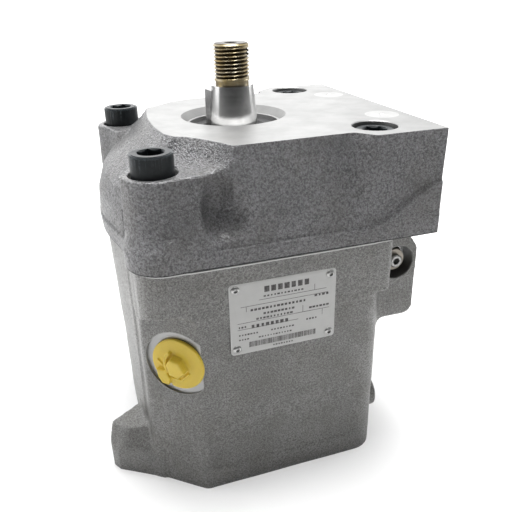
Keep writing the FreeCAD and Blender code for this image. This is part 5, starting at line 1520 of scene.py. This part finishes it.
def label_mesh():
    """Thin label with rounded corners and a slightly rolled edge."""
    outline = rounded([
        (PLATE_LOW[0], PLATE_LOW[2], 2.0), (PLATE_HIGH[0], PLATE_LOW[2], 2.0),
        (PLATE_HIGH[0], PLATE_HIGH[2], 2.0), (PLATE_LOW[0], PLATE_HIGH[2], 2.0),
    ], 8.0)
    place = Matrix(((1.0, 0.0, 0.0, 0.0), (0.0, 0.0, -1.0, 0.0), (0.0, 1.0, 0.0, 0.0), (0.0, 0.0, 0.0, 1.0)))
    mesh = prism(outline, -PLATE_HIGH[1], -PLATE_LOW[1], place)
    shape = bmesh.new()
    shape.from_mesh(mesh)
    front = [e for e in shape.edges if all(v.co.y < (PLATE_LOW[1] + 0.1) * MM for v in e.verts)]
    bmesh.ops.bevel(shape, geom=front, offset=0.25 * MM, segments=2, affect="EDGES", profile=0.6)
    shape.to_mesh(mesh)
    shape.free()
    return combined(mesh, rivet_bores(DEPTH - 2.0, DEPTH + 4.0))


# Rows of strokes: right and down from the label's corner, pitch, height, count, thinnest and
# widest share of the pitch.
TITLE_ROWS = ((20.4, 5.4, 3.7, 3.4, 7, 0.62, 0.82), (19.2, 9.4, 1.9, 0.9, 12, 0.4, 0.8))
TEXT_ROWS = (
    (12.0, 16.4, 2.1, 1.3, 15, 0.4, 0.85), (19.0, 19.6, 2.0, 1.2, 9, 0.4, 0.85),
    (48.0, 14.6, 2.2, 1.2, 4, 0.4, 0.8), (15.0, 22.2, 1.9, 1.1, 11, 0.4, 0.85),
    (45.0, 21.4, 2.0, 1.1, 6, 0.4, 0.85), (5.0, 25.8, 1.6, 1.1, 3, 0.4, 0.8),
    (12.4, 26.4, 2.7, 2.1, 8, 0.45, 0.72), (43.2, 28.4, 1.7, 1.0, 4, 0.4, 0.8),
    (5.0, 30.6, 1.6, 0.9, 7, 0.4, 0.8), (23.0, 30.6, 1.7, 0.9, 8, 0.4, 0.8),
    (5.0, 33.4, 1.5, 0.8, 4, 0.4, 0.8), (16.0, 33.6, 1.6, 0.8, 12, 0.3, 0.8),
    (10.2, 37.2, 0.62, 3.3, 62, 0.25, 0.92), (24.0, 40.4, 1.5, 0.8, 8, 0.4, 0.8),
)
# Lines across (right, down, length) and lines down (right, down, height).
RULES = ((16.0, 11.2, 38.0), (6.0, 13.8, 49.0), (4.0, 23.4, 52.0), (4.0, 27.2, 34.0))
DIVIDERS = ((9.0, 15.4, 3.0), (47.2, 9.2, 3.4), (40.6, 21.2, 4.0), (52.0, 25.4, 3.6))


def print_meshes(tree, ink, seed):
    """Plain rules, strokes and bars that stand for the printing: no letters or numbers."""
    left, top = PLATE_LOW[0], PLATE_HIGH[2]
    face_y = PLATE_LOW[1] - 0.02
    meshes = []

    def strokes(x, down, pitch, height, count, thinnest, widest, row_seed):
        meshes.append(grown(tree, points_mesh([(left + x, face_y, top - down)]), **{
            "Pitch": pitch * MM, "Height": height * MM, "Count": count, "Thinnest": thinnest,
            "Widest": widest, "Seed": seed + row_seed, "Finish": ink,
        }))

    for number, row in enumerate(TITLE_ROWS, 1):
        strokes(*row, number)
    for x, down, length in RULES:
        strokes(x + length / 2.0, down, length, 0.22, 1, 1.0, 1.0, 3)
    for x, down, height in DIVIDERS:
        strokes(x, down, 0.25, height, 1, 1.0, 1.0, 4)
    for number, row in enumerate(TEXT_ROWS, 5):
        strokes(*row, number)
    return meshes


class PUMP_OT_nameplate(bpy.types.Operator):
    """Label with plain printing and four drive rivets"""
    bl_idname = "pump.nameplate"
    bl_label = "Nameplate"

    def execute(self, context):
        sizes = context.scene.pump_fasteners
        add_piece("label_plate", smooth_shaded(label_mesh(), 30.0), [finish("plate_silver")], "root",
                  ["nameplate"])
        ink = printed_ink("label_ink")
        printing = merged(print_meshes(stroke_tree(), ink, sizes.seed), "printing")
        add_piece("label_printing", printing, [ink], "root")
        points = points_mesh([(x, PLATE_LOW[1] - 0.01, z) for x, z in rivet_places()])
        metal = finish("rivet_metal")
        mesh = grown(drive_rivet_tree(), points, **{"Head radius": sizes.rivet_r * MM, "Finish": metal})
        add_piece("label_rivets", smooth_shaded(mesh, 35.0), [metal], "root",
                  ["nameplate_rivets"])
        return {"FINISHED"}


# ---------------------------------------------------------------- carried-over CAD pieces

class PUMP_OT_inner_works(bpy.types.Operator):
    """Finishes on every CAD piece that keeps its own shape"""
    bl_idname = "pump.inner_works"
    bl_label = "Inner Works"

    def execute(self, context):
        special = {
            "gallery_plugs": machined_metal("plug_top", (0.58, 0.58, 0.575), 0.42, 0.6, dark=0.7),
            "adjusting_screw": machined_metal("adjuster_steel", (0.40, 0.40, 0.39), 0.34, 0.3, 1.0),
            "lock_nut": machined_metal("nut_steel", (0.34, 0.31, 0.27), 0.38, 0.4),
        }
        for part in frame["record"]["subparts"]:
            node = NODES[part["node"]]
            material = special.get(part["node"]) or finish(part["material_slot"])
            if not node.material_slots:
                node.data.materials.append(material)
            for slot in node.material_slots:
                slot.material = material
        return {"FINISHED"}


# ---------------------------------------------------------------- stage

def soft_light(name, place, target, size, power):
    """Square soft light aimed at a point, places in metres."""
    data = bpy.data.lights.new(name, "AREA")
    data.shape = "SQUARE"
    data.size = size
    data.energy = power
    light = bpy.data.objects.new(name, data)
    light.location = place
    light.rotation_euler = (Vector(target) - Vector(place)).to_track_quat("-Z", "Y").to_euler()
    bpy.context.scene.collection.objects.link(light)


CAMERA_AT = (-93.42, -322.87, 268.91)
CAMERA_TURNS = (-0.31522, 0.44253, -0.02269)      # round Z, down and roll, in radians


def make_camera(lens):
    """Camera in front, to the left and above, with a slight roll."""
    data = bpy.data.cameras.new("camera")
    data.lens = lens
    data.sensor_width = 36.0
    data.clip_start = 0.01
    data.clip_end = 50.0
    turn, tilt, roll = CAMERA_TURNS
    back = Vector((math.sin(turn) * math.cos(tilt), -math.cos(turn) * math.cos(tilt), math.sin(tilt)))
    right = Vector((math.cos(turn), math.sin(turn), 0.0))
    up = back.cross(right)
    across = right * math.cos(roll) + up * math.sin(roll)
    upright = up * math.cos(roll) - right * math.sin(roll)
    camera = bpy.data.objects.new("camera", data)
    place = Matrix((across, upright, back)).transposed().to_4x4()
    place.translation = Vector(CAMERA_AT) * MM
    camera.matrix_world = place
    bpy.context.scene.collection.objects.link(camera)
    bpy.context.scene.camera = camera


class PUMP_OT_stage(bpy.types.Operator):
    """Pale floor, soft lights and camera"""
    bl_idname = "pump.stage"
    bl_label = "Stage"

    def execute(self, context):
        look = context.scene.pump_stage
        floor_mesh = bpy.data.meshes.new("floor")
        reach = 12.0
        floor_mesh.from_pydata(
            [(-reach, -reach, 0.0), (reach, -reach, 0.0), (reach, reach, 0.0), (-reach, reach, 0.0)],
            [], [(0, 1, 2, 3)])
        floor_mesh.materials.append(floor_paper("floor_paper"))
        floor = bpy.data.objects.new("floor", floor_mesh)
        context.scene.collection.objects.link(floor)
        middle = (0.0, 0.0, 0.10)
        soft_light("overhead", (0.05, 0.10, 1.15), middle, 0.6, look.overhead)
        soft_light("back", (0.15, 1.55, 0.85), middle, 1.5, look.back)
        soft_light("left", (-1.10, 0.35, 0.50), middle, 0.7, look.side)
        soft_light("right", (1.15, 0.15, 0.40), middle, 0.5, 0.6 * look.side)
        context.scene.world = studio_world(look.fill)
        context.scene.view_settings.view_transform = "Standard"
        make_camera(look.lens)
        return {"FINISHED"}


class PUMP_PT_panel(bpy.types.Panel):
    """Sidebar panel with every step of the pump"""
    bl_label = "Axial Piston Pump"
    bl_idname = "PUMP_PT_panel"
    bl_space_type = "VIEW_3D"
    bl_region_type = "UI"
    bl_category = "Pump"

    def draw(self, context):
        scene = context.scene
        for settings in (scene.pump_castings, scene.pump_finishes, scene.pump_fasteners, scene.pump_stage):
            box = self.layout.box()
            for name in settings.__annotations__:
                box.prop(settings, name)
        for operator in OPERATORS:
            self.layout.operator(operator.bl_idname)


OPERATORS = (
    PUMP_OT_lower_casing, PUMP_OT_port_block, PUMP_OT_screws, PUMP_OT_shaft,
    PUMP_OT_transport_plug, PUMP_OT_nameplate, PUMP_OT_inner_works, PUMP_OT_stage,
)
CLASSES = (CastingSettings, FinishSettings, FastenerSettings, StageSettings) + OPERATORS + (PUMP_PT_panel,)


def register():
    for item in CLASSES:
        bpy.utils.register_class(item)
    bpy.types.Scene.pump_castings = PointerProperty(type=CastingSettings)
    bpy.types.Scene.pump_finishes = PointerProperty(type=FinishSettings)
    bpy.types.Scene.pump_fasteners = PointerProperty(type=FastenerSettings)
    bpy.types.Scene.pump_stage = PointerProperty(type=StageSettings)


def unregister():
    for name in ("pump_castings", "pump_finishes", "pump_fasteners", "pump_stage"):
        delattr(bpy.types.Scene, name)
    for item in reversed(CLASSES):
        bpy.utils.unregister_class(item)


def main():
    register()
    for operator in OPERATORS:
        family, name = operator.bl_idname.split(".")
        getattr(getattr(bpy.ops, family), name)()


if __name__ == "__main__":
    main()
